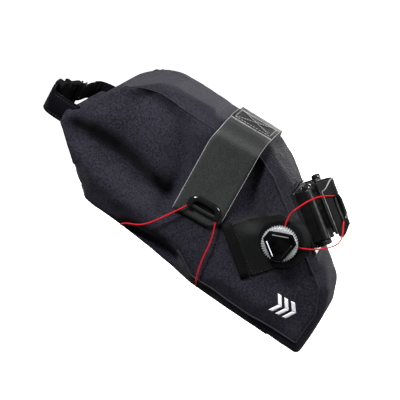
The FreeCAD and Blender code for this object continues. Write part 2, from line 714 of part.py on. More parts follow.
PLUG_END = SOCKET_LONG + 18.0
plug_outline = [(SOCKET_LONG + 0.4, -10.5), (SOCKET_LONG + 15.0, -11.5), (PLUG_END, -11.5),
                (PLUG_END, 11.5), (SOCKET_LONG + 15.0, 11.5), (SOCKET_LONG + 0.4, 10.5)]
plug = new_body("buckle_plug")
plug_sketch = new_sketch(plug, "XZ_Plane", "plug_outline")
add_loop(plug_sketch, plug_outline)
add_loop(plug_sketch, [(SOCKET_LONG + 8.0, -9.0), (SOCKET_LONG + 11.5, -9.0), (SOCKET_LONG + 11.5, 9.0),
                       (SOCKET_LONG + 8.0, 9.0)])
pad(plug, plug_sketch, "plug_pad", "6.4", both=True)
tongue = new_sketch(plug, "XZ_Plane", "plug_tongue")
add_loop(tongue, [(8.0, -1.6), (SOCKET_LONG + 0.6, -1.6), (SOCKET_LONG + 0.6, 1.6), (8.0, 1.6)])
pad(plug, tongue, "plug_tongue_pad", "3.6", both=True)
keep(plug, BUCKLE)
PRONG_TIP = SOCKET_LONG - size("prong_length")
for up, part_name in ((1, "buckle_prong_upper"), (-1, "buckle_prong_lower")):
    outline = [(PRONG_TIP, 4.6 * up), (SOCKET_LONG, 4.6 * up), (SOCKET_LONG, 7.6 * up), (PRONG_TIP + 6.0, 8.4 * up),
               (PRONG_TIP + 2.5, 9.2 * up), (PRONG_TIP, 7.0 * up)]
    keep(prism(part_name, outline, "3.6", both=True), BUCKLE)

# ---------------------------------------------------------------- laces
def from_dial(frame, lift, degrees, distance):
    """Point on a lace's line out of a dial."""
    angle = math.radians(degrees)
    return frame.multVec(V(distance * math.cos(angle), -(lift + LACE_SINK), distance * math.sin(angle)))


def at_strap(up, distance):
    return STRAP_GUIDE.multVec(strap_lace_point(up, distance))


cord("front_lace", [
    from_dial(front_dial_frame, FRONT_LIFT, EXIT_UP, DIAL_MOUTH),
    from_dial(front_dial_frame, FRONT_LIFT, EXIT_UP, STRAIGHT_RUN),
    V(-18.1, -50.0, 14.1),
    V(-8.3, -45.5, 19.4),
    V(1.2, -37.0, 21.9),
    at_strap(1, 18.0),
    (at_strap(1, 0.0), STRAP_BEND),
    (at_strap(-1, 0.0), STRAP_BEND),
    at_strap(-1, 18.0),
    V(17.1, -24.5, -22.3),
    V(10.5, -34.0, -27.0),
    from_dial(front_dial_frame, FRONT_LIFT, EXIT_AHEAD, STRAIGHT_RUN),
    from_dial(front_dial_frame, FRONT_LIFT, EXIT_AHEAD, DIAL_MOUTH),
])


def in_bag(x, y, z):
    return BAG.multVec(V(x, y, z))


def in_guide(x, z):
    return wing_guide_frame.multVec(V(x, -LACE_LIFT, z))


cord("rail_lace", [
    from_dial(rail_dial_frame, RAIL_LIFT, RAIL_EXITS[0], DIAL_MOUTH),
    from_dial(rail_dial_frame, RAIL_LIFT, RAIL_EXITS[0], 32.0),
    in_bag(-136.0, 57.5, -77.0),
    in_bag(-156.0, 57.0, -97.0),
    in_bag(-162.0, 46.0, -103.0),
    in_bag(-164.0, 2.0, -104.5),
    in_bag(-162.0, -46.0, -103.0),
    in_bag(-157.0, -57.0, -97.0),
    in_bag(-139.0, -58.0, -84.0),
    in_guide(-26.0, -24.0),
    (in_guide(-GUIDE_RUN, 12.0), GUIDE_BEND),
    (in_guide(GUIDE_RUN, 12.0), GUIDE_BEND),
    in_guide(24.0, -20.0),
    in_bag(-77.0, -52.0, -88.0),
    in_bag(-72.0, -50.5, -115.0),
    in_bag(-70.0, -39.0, -119.8),
    in_bag(-70.0, 1.0, -121.0),
    in_bag(-70.0, 39.0, -119.8),
    in_bag(-73.0, 50.5, -115.0),
    in_bag(-81.0, 53.5, -88.0),
    from_dial(rail_dial_frame, RAIL_LIFT, RAIL_EXITS[1], STRAIGHT_RUN),
    from_dial(rail_dial_frame, RAIL_LIFT, RAIL_EXITS[1], DIAL_MOUTH),
])

# ---------------------------------------------------------------- reflective mark
MARK_X = along_side(6.5)
MARK_Z = -87.0
MARK_HALF = 8.0
BAR_WIDTH = 3.6
BAR_POINT = 5.4                  # each chevron points this far forward
mark = new_body("reflective_mark")
mark_sketch = new_sketch(mark, "XZ_Plane", "mark_chevrons")
for step in (0.0, 7.0, 14.0):
    x = MARK_X - MARK_HALF + step
    low = MARK_Z - MARK_HALF
    high = MARK_Z + MARK_HALF
    add_loop(mark_sketch, [(x, low), (x + BAR_WIDTH, low), (x + BAR_WIDTH + BAR_POINT, MARK_Z),
                           (x + BAR_WIDTH, high), (x, high), (x + BAR_POINT, MARK_Z)])
pad(mark, mark_sketch, "mark_pad", "0.3")
keep(mark, side_frame(-1))

# ---------------------------------------------------------------- checks and files
doc.recompute()
for obj in doc.Objects:
    if "Invalid" in obj.State or "Error" in obj.State:
        raise RuntimeError("failed object " + obj.Label)
os.makedirs("parts", exist_ok=True)
for piece in SUB_PARTS:
    shape = piece.Shape
    if shape.isNull() or not shape.isValid() or not shape.Solids:
        raise RuntimeError("bad shape in " + piece.Label)
    shape.exportStep("parts/%s.step" % piece.Label)
print(len(SUB_PARTS), "pieces")
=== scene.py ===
import bmesh
import bpy
import math
import numpy as np
from mathutils import Matrix, Vector, noise
from mathutils.bvhtree import BVHTree


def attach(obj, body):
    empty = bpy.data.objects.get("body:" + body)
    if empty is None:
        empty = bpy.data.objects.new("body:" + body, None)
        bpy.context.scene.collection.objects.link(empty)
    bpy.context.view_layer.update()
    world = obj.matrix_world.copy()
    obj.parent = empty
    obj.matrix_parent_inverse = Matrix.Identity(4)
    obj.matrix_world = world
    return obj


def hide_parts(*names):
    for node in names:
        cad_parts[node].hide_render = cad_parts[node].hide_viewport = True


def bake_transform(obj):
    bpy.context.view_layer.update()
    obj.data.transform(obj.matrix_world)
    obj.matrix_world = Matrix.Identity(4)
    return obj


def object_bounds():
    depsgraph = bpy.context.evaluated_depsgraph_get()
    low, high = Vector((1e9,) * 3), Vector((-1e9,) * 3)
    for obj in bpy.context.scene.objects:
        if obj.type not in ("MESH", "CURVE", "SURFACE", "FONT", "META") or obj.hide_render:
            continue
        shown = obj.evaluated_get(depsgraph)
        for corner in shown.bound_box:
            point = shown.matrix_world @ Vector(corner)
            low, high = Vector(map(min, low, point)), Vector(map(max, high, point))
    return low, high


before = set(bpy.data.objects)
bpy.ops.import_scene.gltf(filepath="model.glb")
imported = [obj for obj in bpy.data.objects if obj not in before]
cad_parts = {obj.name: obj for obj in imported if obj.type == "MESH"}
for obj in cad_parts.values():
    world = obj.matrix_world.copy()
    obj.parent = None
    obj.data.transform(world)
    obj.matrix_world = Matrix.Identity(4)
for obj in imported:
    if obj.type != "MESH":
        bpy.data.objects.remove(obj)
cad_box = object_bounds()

# Everything is worked out in millimetres in the bag's own frames and stored in metres.
MM = 0.001
PITCH = 33.5                     # the bag's own tilt, nose down
RAKE = 17.0                      # the seatpost's lean, top rearwards
NOSE_X = 40.0                    # front and rear ends of the side panels' planes in the bag's frame
TAIL_X = -256.0
HALF_FRONT = 38.0                # half the bag's width at those two ends
HALF_REAR = 60.0
WING_TOP = 38.2                  # outer face of the wing straps over the top of the bag
SHOULDER_Y = 26.0                # the bag's top rounds off over this width
SHOULDER_LOW = 24.0              # height where that rounding starts
SLOPE = (HALF_REAR - HALF_FRONT) / (NOSE_X - TAIL_X)
TAPER = math.degrees(math.atan(SLOPE))


def rotation(degrees, axis):
    return Matrix.Rotation(math.radians(degrees), 4, axis)


POST = rotation(-RAKE, "Y")
BAG_DROP = 3.3                   # the bag hangs this far down the seatpost from the pad's middle
BAG_ORIGIN = POST @ Vector((0, 0, -BAG_DROP))
BAG = Matrix.Translation(BAG_ORIGIN) @ rotation(PITCH, "Y")
UNIT = Matrix.Identity(4)
SIDES = ((-1, "right"), (1, "left"))


def side_frame(side):
    """Outer face of a side panel: -1 is the right one, +1 the left one."""
    return BAG @ Matrix.Translation((NOSE_X, side * HALF_FRONT, 0)) @ rotation(-side * TAPER, "Z")


def along_side(x):
    return (x - NOSE_X) / math.cos(math.radians(TAPER))


def half_width(x):
    return HALF_FRONT + (NOSE_X - x) * SLOPE


def smooth(t):
    t = min(max(t, 0.0), 1.0)
    return t * t * (3 - 2 * t)


# ---------------------------------------------------------------- camera, light and floor
VIEW_AZIMUTH = 15.0
VIEW_ELEVATION = 12.0
VIEW_ROLL = 5.0
LENS = 150.0
DISTANCE = 1530.0
AIM = (-117.7, 23.0, -20.0)      # right, up and depth of the picture's centre from the seatpost clamp
LIGHTS = (                       # name, place and aim in metres, size, watts
    ("key", (-0.28, -0.80, 1.10), (-0.1, 0, 0), 0.3, 41.0),
    ("front", (1.2, -0.5, 0.5), (-0.05, 0, 0), 0.5, 24.0),
    ("back", (0.1, 1.5, -0.05), (-0.1, 0, 0), 0.8, 26.0),
    ("rear", (-1.4, 0.6, 0.1), (-0.15, 0, 0), 0.6, 11.0),
)
WORLD_STRENGTH = 0.14
FLOOR_HALF = 30.0
FLOOR_DROP = 0.09                # the floor lies clear below the hanging bag


def make_camera():
    a = math.radians(VIEW_AZIMUTH)
    e = math.radians(VIEW_ELEVATION)
    r = math.radians(VIEW_ROLL)
    right = Vector((math.cos(a), math.sin(a), 0))
    up = Vector((-math.sin(a) * math.sin(e), math.cos(a) * math.sin(e), math.cos(e)))
    back = right.cross(up)
    centre = right * AIM[0] + up * AIM[1] - back * AIM[2]
    x_axis = right * math.cos(r) - up * math.sin(r)
    y_axis = right * math.sin(r) + up * math.cos(r)
    centre += BAG_ORIGIN
    place = (centre + back * DISTANCE) * MM
    data = bpy.data.cameras.new("view")
    data.lens = LENS
    data.sensor_width = 36.0
    data.clip_end = 50.0
    camera = bpy.data.objects.new("view", data)
    bpy.context.scene.collection.objects.link(camera)
    turn = Matrix((x_axis, y_axis, back)).transposed().to_4x4()
    camera.matrix_world = Matrix.Translation(place) @ turn
    bpy.context.scene.camera = camera


def area_light(name, place, aim, size, watts):
    data = bpy.data.lights.new(name, "AREA")
    data.size = size
    data.energy = watts
    light = bpy.data.objects.new(name, data)
    bpy.context.scene.collection.objects.link(light)
    way = Vector(aim) - Vector(place)
    light.matrix_world = Matrix.Translation(place) @ way.to_track_quat("-Z", "Y").to_matrix().to_4x4()


def set_values(shader, values):
    for socket, value in values.items():
        shader.inputs[socket].default_value = value


def make_stage():
    world = bpy.data.worlds.new("studio")
    bpy.context.scene.world = world
    world.use_nodes = True
    background = world.node_tree.nodes["Background"]
    background.inputs["Color"].default_value = (1.0, 1.0, 1.0, 1.0)
    background.inputs["Strength"].default_value = WORLD_STRENGTH
    bpy.context.scene.view_settings.view_transform = "Standard"
    for light in LIGHTS:
        area_light(*light)
    floor_z = cad_box[0][2] - FLOOR_DROP
    mesh = bpy.data.meshes.new("floor")
    corners = [(x * FLOOR_HALF, y * FLOOR_HALF, floor_z) for x, y in ((-1, -1), (1, -1), (1, 1), (-1, 1))]
    mesh.from_pydata(corners, [], [(0, 1, 2, 3)])
    floor = bpy.data.objects.new("floor", mesh)
    bpy.context.scene.collection.objects.link(floor)
    material = bpy.data.materials.new("floor_paper")
    material.use_nodes = True
    shader = material.node_tree.nodes["Principled BSDF"]
    set_values(shader, {"Base Color": (0.95, 0.95, 0.95, 1.0), "Roughness": 0.9,
                        "Emission Color": (1.0, 1.0, 1.0, 1.0), "Emission Strength": 0.9})
    mesh.materials.append(material)
    floor.visible_diffuse = False
    floor.visible_glossy = False


make_camera()
make_stage()


# ---------------------------------------------------------------- materials
class Nodes:
    """Small helper that builds one procedural material."""

    def __init__(self, name):
        self.material = bpy.data.materials.new(name)
        self.material.use_nodes = True
        self.tree = self.material.node_tree
        self.shader = self.tree.nodes["Principled BSDF"]
        coordinates = self.tree.nodes.new("ShaderNodeTexCoord")
        mapping = self.tree.nodes.new("ShaderNodeMapping")
        mapping.inputs["Rotation"].default_value = (0.0, math.radians(-PITCH), 0.0)
        self.tree.links.new(coordinates.outputs["Object"], mapping.inputs["Vector"])
        self.place = mapping.outputs["Vector"]

    def link(self, source, target):
        self.tree.links.new(source, target)

    def node(self, kind, output, source, target, **values):
        """New node with a source linked in; returns one of its outputs."""
        node = self.tree.nodes.new("ShaderNode" + kind)
        set_values(node, {socket.replace("_", " "): value for socket, value in values.items()})
        self.link(source, node.inputs[target])
        return node.outputs[output]

    def noise(self, scale, detail=3.0, rough=0.6, stretch=None):
        source = self.place
        if stretch:
            source = self.node("Mapping", "Vector", source, "Vector", Scale=stretch)
        return self.node("TexNoise", "Fac", source, "Vector", Scale=scale, Detail=detail, Roughness=rough)

    def wave(self, scale, direction, distortion=0.4):
        fac = self.node("TexWave", "Fac", self.place, "Vector", Scale=scale, Distortion=distortion,
                        Detail_Scale=2.0)
        fac.node.bands_direction = direction
        return fac

    def maths(self, operation, one, two):
        node = self.tree.nodes.new("ShaderNodeMath")
        node.operation = operation
        for slot, value in ((0, one), (1, two)):
            if isinstance(value, float):
                node.inputs[slot].default_value = value
            else:
                self.link(value, node.inputs[slot])
        return node.outputs["Value"]

    def ramp(self, factor, stops):
        colour = self.node("ValToRGB", "Color", factor, "Fac")
        elements = colour.node.color_ramp.elements
        while len(elements) < len(stops):
            elements.new(0.5)
        for element, (position, shade) in zip(elements, stops):
            element.position = position
            element.color = (*shade, 1.0)
        return colour

    def spread(self, factor, low, high):
        return self.node("MapRange", "Result", factor, "Value", To_Min=low, To_Max=high)

    def bump(self, height, strength, distance):
        normal = self.node("Bump", "Normal", height, "Height", Strength=strength, Distance=distance)
        self.link(normal, self.shader.inputs["Normal"])

    def colour(self, output):
        self.link(output, self.shader.inputs["Base Color"])

    def roughness(self, output):
        self.link(output, self.shader.inputs["Roughness"])


def woven(name, dark, light, thread, rough, sheen, bump, fleck, gloss=0.12):
    """Fabric with crossing threads, heathered in two tones; thread is its pitch in metres."""
    m = Nodes(name)
    pitch = 1.0 / thread
    warp = m.wave(pitch / 3.2, "X")
    weft = m.wave(pitch / 3.2, "Z")
    across = m.wave(pitch / 3.2, "Y")
    weave = m.maths("MULTIPLY", m.maths("MAXIMUM", warp, across), weft)
    flecks = m.noise(fleck, 4.0, 0.75)
    broad = m.noise(14.0, 2.0, 0.5)
    mix = m.maths("ADD", m.maths("MULTIPLY", flecks, 0.8), m.maths("MULTIPLY", broad, 0.2))
    middle = tuple((a + b) / 2 for a, b in zip(dark, light))
    m.colour(m.ramp(mix, [(0.42, dark), (0.5, middle), (0.59, light)]))
    m.roughness(m.spread(flecks, rough - 0.12, rough + 0.08))
    height = m.maths("ADD", m.maths("MULTIPLY", weave, 0.6), m.maths("MULTIPLY", flecks, 0.8))
    m.bump(height, bump, thread * 0.5)
    set_values(m.shader, {"Sheen Weight": sheen, "Sheen Roughness": 0.45, "Specular IOR Level": gloss})
    return m.material


def moulded(name, colour, rough, grain, bump, coat=0.0, gloss=0.5):
    """Moulded plastic or rubber with a fine grain and slight handling marks."""
    m = Nodes(name)
    marks = m.noise(55.0, 5.0, 0.65)
    fine = m.noise(grain, 2.0, 0.5)
    lighter = tuple(min(1.0, c * 1.5 + 0.004) for c in colour)
    m.colour(m.ramp(marks, [(0.35, colour), (0.75, lighter)]))
    m.roughness(m.spread(marks, rough * 0.75, min(1.0, rough * 1.3)))
    m.bump(fine, bump, 0.0002)
    set_values(m.shader, {"Coat Weight": coat, "Coat Roughness": 0.08, "Specular IOR Level": gloss})
    return m.material


def ribbed(name, dark, light, pitch, direction):
    """Tight webbing with ribs across it."""
    m = Nodes(name)
    ribs = m.wave(1.0 / pitch / 3.2, direction, 0.15)
    flecks = m.noise(2600.0, 3.0, 0.7)
    m.colour(m.ramp(m.maths("MULTIPLY", ribs, flecks), [(0.1, dark), (0.7, light)]))
    m.roughness(m.spread(flecks, 0.6, 0.9))
    m.bump(m.maths("ADD", ribs, m.maths("MULTIPLY", flecks, 0.4)), 0.7, 0.0004)
    set_values(m.shader, {"Sheen Weight": 0.0, "Specular IOR Level": 0.12})
    return m.material


def turned_metal(name, colour):
    m = Nodes(name)
    rings = m.noise(900.0, 2.0, 0.5, (1.0, 8.0, 1.0))
    m.colour(m.ramp(rings, [(0.3, tuple(c * 0.8 for c in colour)), (0.7, colour)]))
    m.roughness(m.spread(rings, 0.2, 0.4))
    m.bump(rings, 0.2, 0.0001)
    set_values(m.shader, {"Metallic": 1.0})
    return m.material


HEATHER = woven("heather_fabric", (0.0018, 0.0016, 0.0030), (0.0165, 0.0148, 0.0240),
                thread=0.0009, rough=0.85, sheen=0.05, bump=0.6, fleck=620.0)
TAB_CLOTH = woven("tab_fabric", (0.0007, 0.0007, 0.0011), (0.0028, 0.0028, 0.0042),
                  thread=0.0006, rough=0.85, sheen=0.0, bump=0.4, fleck=1500.0, gloss=0.03)
COATED_DARK = woven("coated_patch", (0.0008, 0.0010, 0.0009), (0.0052, 0.0058, 0.0055),
                    thread=0.0007, rough=0.68, sheen=0.02, bump=0.4, fleck=1400.0, gloss=0.12)
COATED = woven("coated_fabric", (0.0048, 0.0054, 0.0054), (0.0260, 0.0283, 0.0282),
               thread=0.0007, rough=0.62, sheen=0.02, bump=0.4, fleck=1400.0, gloss=0.25)
# Pale material: a painted highlight along the coated pieces' cut edges, and the pale thread of the box stitch.
EDGE_HIGHLIGHT_AND_THREAD = woven("edge_highlight_and_thread", (0.16, 0.16, 0.16), (0.36, 0.36, 0.35),
             thread=0.0005, rough=0.8, sheen=0.05, bump=0.4, fleck=1500.0)
PIPING = woven("piping", (0.0045, 0.0045, 0.006), (0.015, 0.0145, 0.019),
               thread=0.0006, rough=0.7, sheen=0.05, bump=0.5, fleck=1500.0, gloss=0.2)
THREAD = woven("sewing_thread", (0.010, 0.010, 0.011), (0.034, 0.034, 0.036),
               thread=0.0003, rough=0.6, sheen=0.05, bump=0.4, fleck=2400.0)
WEBBING = ribbed("webbing", (0.0008, 0.0008, 0.0010), (0.0034, 0.0034, 0.0038), 0.0012, "Y")
LACE = ribbed("lace", (0.30, 0.003, 0.008), (0.62, 0.012, 0.024), 0.0009, "DIAGONAL")
PILE = woven("hook_pile", (0.006, 0.006, 0.0065), (0.035, 0.035, 0.037),
             thread=0.0012, rough=0.9, sheen=0.1, bump=1.0, fleck=1800.0)
GLOSS = moulded("gloss_black", (0.0020, 0.0020, 0.0023),
                rough=0.16, grain=300.0, bump=0.05, coat=0.25, gloss=0.3)
CAP_BLACK = moulded("cap_black", (0.0003, 0.0003, 0.0004),
                    rough=0.2, grain=300.0, bump=0.03, coat=0.0, gloss=0.05)
TAPE = woven("tape", (0.0010, 0.0010, 0.0012), (0.0050, 0.0050, 0.0056),
             thread=0.0006, rough=0.8, sheen=0.0, bump=0.4, fleck=1500.0, gloss=0.06)
BUCKLE_BLACK = moulded("buckle_black", (0.0008, 0.0008, 0.0009),
                       rough=0.55, grain=700.0, bump=0.1, coat=0.0, gloss=0.06)
# near-black painted shade, for the gap round the dial cap and the dark flanges under the guides and dials
SHADOW_BLACK = moulded("shadow_gap", (0.0006, 0.0006, 0.0007),
               rough=0.7, grain=900.0, bump=0.1, coat=0.0, gloss=0.05)
SATIN = moulded("satin_black", (0.0050, 0.0050, 0.0056),
                rough=0.36, grain=1400.0, bump=0.25, coat=0.0, gloss=0.3)
RUBBER = moulded("cushion_rubber", (0.0024, 0.0024, 0.0026),
                 rough=0.42, grain=1800.0, bump=0.4, coat=0.0, gloss=0.3)
SILVER = moulded("knob_grey", (0.17, 0.178, 0.185), rough=0.3, grain=1200.0, bump=0.12, coat=0.15)
# painted highlight and dimmer painted highlight for the dial cap's lit sides
CAP_HIGHLIGHT = moulded("painted_highlight_line", (0.62, 0.63, 0.65), rough=0.2, grain=900.0, bump=0.05, coat=0.4)
CAP_HALF_HIGHLIGHT = moulded("painted_dim_highlight_line", (0.10, 0.10, 0.105), rough=0.25, grain=900.0, bump=0.05, coat=0.4)
IVORY = moulded("spool_ivory", (0.5, 0.5, 0.47), rough=0.4, grain=900.0, bump=0.1)
STEEL = turned_metal("steel", (0.6, 0.6, 0.61))
BOARD = moulded("board", (0.03, 0.03, 0.03), rough=0.5, grain=900.0, bump=0.2)
PRINT = woven("reflective_print", (0.50, 0.50, 0.52), (0.82, 0.82, 0.84),
              thread=0.0008, rough=0.5, sheen=0.0, bump=0.25, fleck=1300.0)


# ---------------------------------------------------------------- mesh helpers
def add_object(name, points, faces, material, place=UNIT, shade_smooth=True):
    """Mesh piece from points in millimetres of a local frame."""
    mesh = bpy.data.meshes.new(name)
    mesh.from_pydata([(place @ Vector(p)) * MM for p in points], [], faces)
    mesh.validate()
    mesh.materials.append(material)
    mesh.polygons.foreach_set("use_smooth", [shade_smooth] * len(mesh.polygons))
    mesh.update()
    obj = bpy.data.objects.new(name, mesh)
    bpy.context.scene.collection.objects.link(obj)
    return obj


def tidy_normals(obj):
    bm = bmesh.new()
    bm.from_mesh(obj.data)
    bmesh.ops.recalc_face_normals(bm, faces=bm.faces)
    bm.to_mesh(obj.data)
    bm.free()


def add_closed(name, points, faces, material, place):
    """Mesh piece with its faces turned outwards."""
    obj = add_object(name, points, faces, material, place)
    tidy_normals(obj)
    return obj


def settle(obj, body, slot, *nodes):
    """Ride a piece on its body and let it stand for CAD nodes; slot is not used."""
    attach(obj, body)
    if nodes:
        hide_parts(*nodes)
    return obj


def paint(node, material):
    """Better material on a CAD node that stays as it is."""
    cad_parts[node].data.materials.clear()
    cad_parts[node].data.materials.append(material)


def apply_modifiers(obj):
    evaluated = obj.evaluated_get(bpy.context.evaluated_depsgraph_get())
    mesh = bpy.data.meshes.new_from_object(evaluated)
    obj.modifiers.clear()
    obj.data = mesh


def soften(obj, width, segments=2):
    """Consistent normals and bevelled edges."""
    tidy_normals(obj)
    bevel = obj.modifiers.new("bevel", "BEVEL")
    bevel.width = width * MM
    bevel.segments = segments
    bevel.limit_method = "ANGLE"
    bevel.angle_limit = math.radians(35)
    apply_modifiers(obj)
    return obj


def extrude(name, outline, low, high, material, place, bevel=0.4, segments=2):
    """Outline in local X and Z, padded along -Y from low to high."""
    count = len(outline)
    points = [(x, -low, z) for x, z in outline] + [(x, -high, z) for x, z in outline]
    faces = [tuple(range(count)), tuple(range(2 * count - 1, count - 1, -1))]
    faces += [(i, i + count, (i + 1) % count + count, (i + 1) % count) for i in range(count)]
    return soften(add_object(name, points, faces, material, place, False), bevel, segments)


def curve_points(points, steps=6):
    """Smooth Catmull-Rom line through the points."""
    line = []
    for i, (a, b) in enumerate(zip(points, points[1:])):
        before = points[i - 1] if i else a * 2 - b
        after = points[i + 2] if i + 2 < len(points) else b * 2 - a
        for k in range(steps):
            t = k / steps
            line.append(0.5 * ((2 * a) + (b - before) * t + (2 * before - 5 * a + 4 * b - after) * t * t
                               + (3 * a - before - 3 * b + after) * t ** 3))
    return line + [points[-1]]


def stacked(rings, ring):
    """Side faces of a tube of rings, each of that many points, and its two end caps."""
    faces = []
    for i in range(rings - 1):
        for k in range(ring):
            a = i * ring + k
            b = i * ring + (k + 1) % ring
            faces.append((a, b, b + ring, a + ring))
    return faces + [tuple(range(ring - 1, -1, -1)), tuple(range((rings - 1) * ring, rings * ring))]


def sweep(name, line, section, material, place=UNIT, up=None):
    """A section of (sideways, upwards) points carried along a line."""
    points = []
    side = None
    for i, point in enumerate(line):
        tangent = (line[min(i + 1, len(line) - 1)] - line[max(i - 1, 0)]).normalized()
        if up is not None:
            side = tangent.cross(Vector(up)).normalized()
        elif side is None:
            side = tangent.orthogonal().normalized()
        else:
            side = (side - tangent * side.dot(tangent)).normalized()
        lift = side.cross(tangent)
        points += [point + side * a + lift * b for a, b in section]
    return add_closed(name, points, stacked(len(line), len(section)), material, place)


def circle(radius, count=10):
    return [(radius * math.cos(2 * math.pi * i / count), radius * math.sin(2 * math.pi * i / count))
            for i in range(count)]


def oval(across, up, count=10):
    return [(x * across, y * up) for x, y in circle(1.0, count)]


def slab(width, thickness, edge=0.35):
    """Flat strap section with softened edges."""
    w = width / 2
    t = thickness / 2
    return [(-t, -w + edge), (-t + edge, -w), (t - edge, -w), (t, -w + edge),
            (t, w - edge), (t - edge, w), (-t + edge, w), (-t, w - edge)]


def join(name, objects):
    with bpy.context.temp_override(active_object=objects[0], selected_editable_objects=objects,
                                   selected_objects=objects):
        bpy.ops.object.join()
    objects[0].name = name
    return objects[0]


# ---------------------------------------------------------------- the padded bag itself
LEAN = math.radians(PITCH + RAKE)
FACE_GAP = 18.6                  # from the seatpost's axis to the bag's front face


def front_point(height, gap=FACE_GAP):
    return (-math.cos(LEAN) * gap - math.sin(LEAN) * height, -math.sin(LEAN) * gap + math.cos(LEAN) * height)


# Outlines seen from the side, from the rear bottom corner round the nose to the mouth:
# the seam line of each side panel, and the middle strip between them.
SEAM = [(-198, -93), (-172, -94), (-143, -90), (-118, -84), (-102, -91), (-80, -106), (-35, -110),
        (36, -113), (39, -80), front_point(-58, 23.5), front_point(54, 23.5),
        (-83, 27), (-184, 31), (-212, 26), (-258, -38)]
STRIP = [(-197, -95), (-170, -99), (-146, -103), (-120, -108), (-100, -112), (-80, -117), (-35, -121),
         (43, -126), (45, -78), front_point(-64), front_point(60),
         (-78, 36), (-187, 37), (-212, 27), (-257, -38)]
STRIP_INSET = [4, 8, 9, 11, 11, 10, 9, 8, 9, 11, 12, 20, 20, 10, 3]

EDGE_TIP_X = -257.0              # the panels' rear edge comes to a point here
EDGE_TIP_Z = -36.0

# Soft hollows and ridges in each side panel: points along it, its depth or height and its half-width.
HOLLOWS = [
    ([(-252, -41), (-219, -41), (-196, -41), (-175, -45), (-155, -52), (-135, -60)], 15.0, 13.0),
    ([(-196, 20), (-173, 19), (-157, 12), (-146, -2), (-138, -22), (-133, -44)], 12.0, 12.0),
    ([(-82, 12), (-70, -6), (-60, -26)], 13.0, 15.0),
    ([(16, -52), (24, -66), (26, -92)], 4.5, 10.0),
    ([(-152, -101), (-134, -100), (-118, -101), (-104, -104)], 16.0, 7.0),
]
RIDGES = [
    ([(-240, -62), (-210, -64), (-180, -68), (-150, -72)], 4.0, 11.0),
    ([(-232, -14), (-205, -12), (-180, -20), (-152, -36)], 5.0, 11.0),
    ([(-20, -84), (-60, -78), (-100, -74)], 3.0, 14.0),
]


def edge_distance(x, z):
    """How far a point lies in front of the panel's rear edge."""
    slope = 1.0 if z < EDGE_TIP_Z else 0.73
    return x - EDGE_TIP_X - slope * abs(z - EDGE_TIP_Z)


def distance_to_line(x, z, line):
    best = 1e9
    for (x1, z1), (x2, z2) in zip(line, line[1:]):
        run = (x2 - x1) ** 2 + (z2 - z1) ** 2
        t = min(max(((x - x1) * (x2 - x1) + (z - z1) * (z2 - z1)) / run, 0.0), 1.0)
        best = min(best, math.hypot(x - x1 - t * (x2 - x1), z - z1 - t * (z2 - z1)))
    return best


def bulge_room(x, z):
    """How far a side panel may stand out of its plane: nothing under the straps and dials."""
    from_wing = max(-130.0 - x, x + 74.0, 0.0)
    from_dial = max(math.hypot(x + 24.0, z + 36.0) - 38.0, 0.0)
    return 6.0 * smooth(min(from_wing, from_dial) / 35.0) - 0.3


def cage():
    count = len(SEAM)
    points = []
    for side, outline, insets in ((-1, SEAM, [0] * count), (-1, STRIP, STRIP_INSET),
                                  (1, STRIP, STRIP_INSET), (1, SEAM, [0] * count)):
        for (x, z), inset in zip(outline, insets):
            points.append((x, side * (half_width(x) - 1.5 - inset), z))
    faces = [tuple(range(count - 1, -1, -1)), tuple(range(3 * count, 4 * count))]
    for s in range(3):
        for i in range(count):
            j = (i + 1) % count
            faces.append((s * count + i, s * count + j, (s + 1) * count + j, (s + 1) * count + i))
    return add_closed("bag_shell", points, faces, HEATHER, BAG)


def read_vertices(mesh, what):
    values = np.empty(len(mesh.vertices) * 3)
    mesh.vertices.foreach_get(what, values)
    return values.reshape(-1, 3)


SHELL_VOXEL = 4.0
SHELL_PRESSURE = 2.5
CLOTH_FRAMES = 12
CLOTH_CAP = 4.0                  # the most that the cloth may stand out from the cage
TOP_LIMIT = 37.8                 # the shell stays below this height, less behind REAR_SLOPE_X
REAR_SLOPE_X = -188.0
REAR_SLOPE = 0.64
POST_GAP = 18.8                  # the shell's flat place behind the seatpost pad, and half its size
POST_HALF = 36.0


def inflate(obj):
    """Remesh, blow up with cloth, cap the movement and keep the result."""
    remesh = obj.modifiers.new("remesh", "REMESH")
    remesh.mode = "VOXEL"
    remesh.voxel_size = SHELL_VOXEL * MM
    apply_modifiers(obj)
    start = read_vertices(obj.data, "co")
    cloth = obj.modifiers.new("cloth", "CLOTH")
    settings = cloth.settings
    settings.quality = 5
    settings.mass = 0.3
    settings.tension_stiffness = 18
    settings.compression_stiffness = 8
    settings.bending_stiffness = 1.2
    settings.use_pressure = True
    settings.uniform_pressure_force = SHELL_PRESSURE
    settings.effector_weights.gravity = 0.0
    cloth.point_cache.frame_start = 1
    cloth.point_cache.frame_end = CLOTH_FRAMES
    scene = bpy.context.scene
    for number in range(1, CLOTH_FRAMES + 1):
        scene.frame_set(number)
    evaluated = obj.evaluated_get(bpy.context.evaluated_depsgraph_get())
    moved = read_vertices(evaluated.data, "co")
    obj.modifiers.clear()
    scene.frame_set(1)
    normals = read_vertices(obj.data, "normal")
    outward = np.sum((moved - start) * normals, axis=1, keepdims=True)
    shift = normals * np.clip(outward, 0.0, CLOTH_CAP * MM)
    obj.data.vertices.foreach_set("co", (start + shift).ravel())
    obj.data.update()


def relax(obj, rounds):
    smoother = obj.modifiers.new("relax", "SMOOTH")
    smoother.iterations = rounds
    smoother.factor = 0.5
    apply_modifiers(obj)


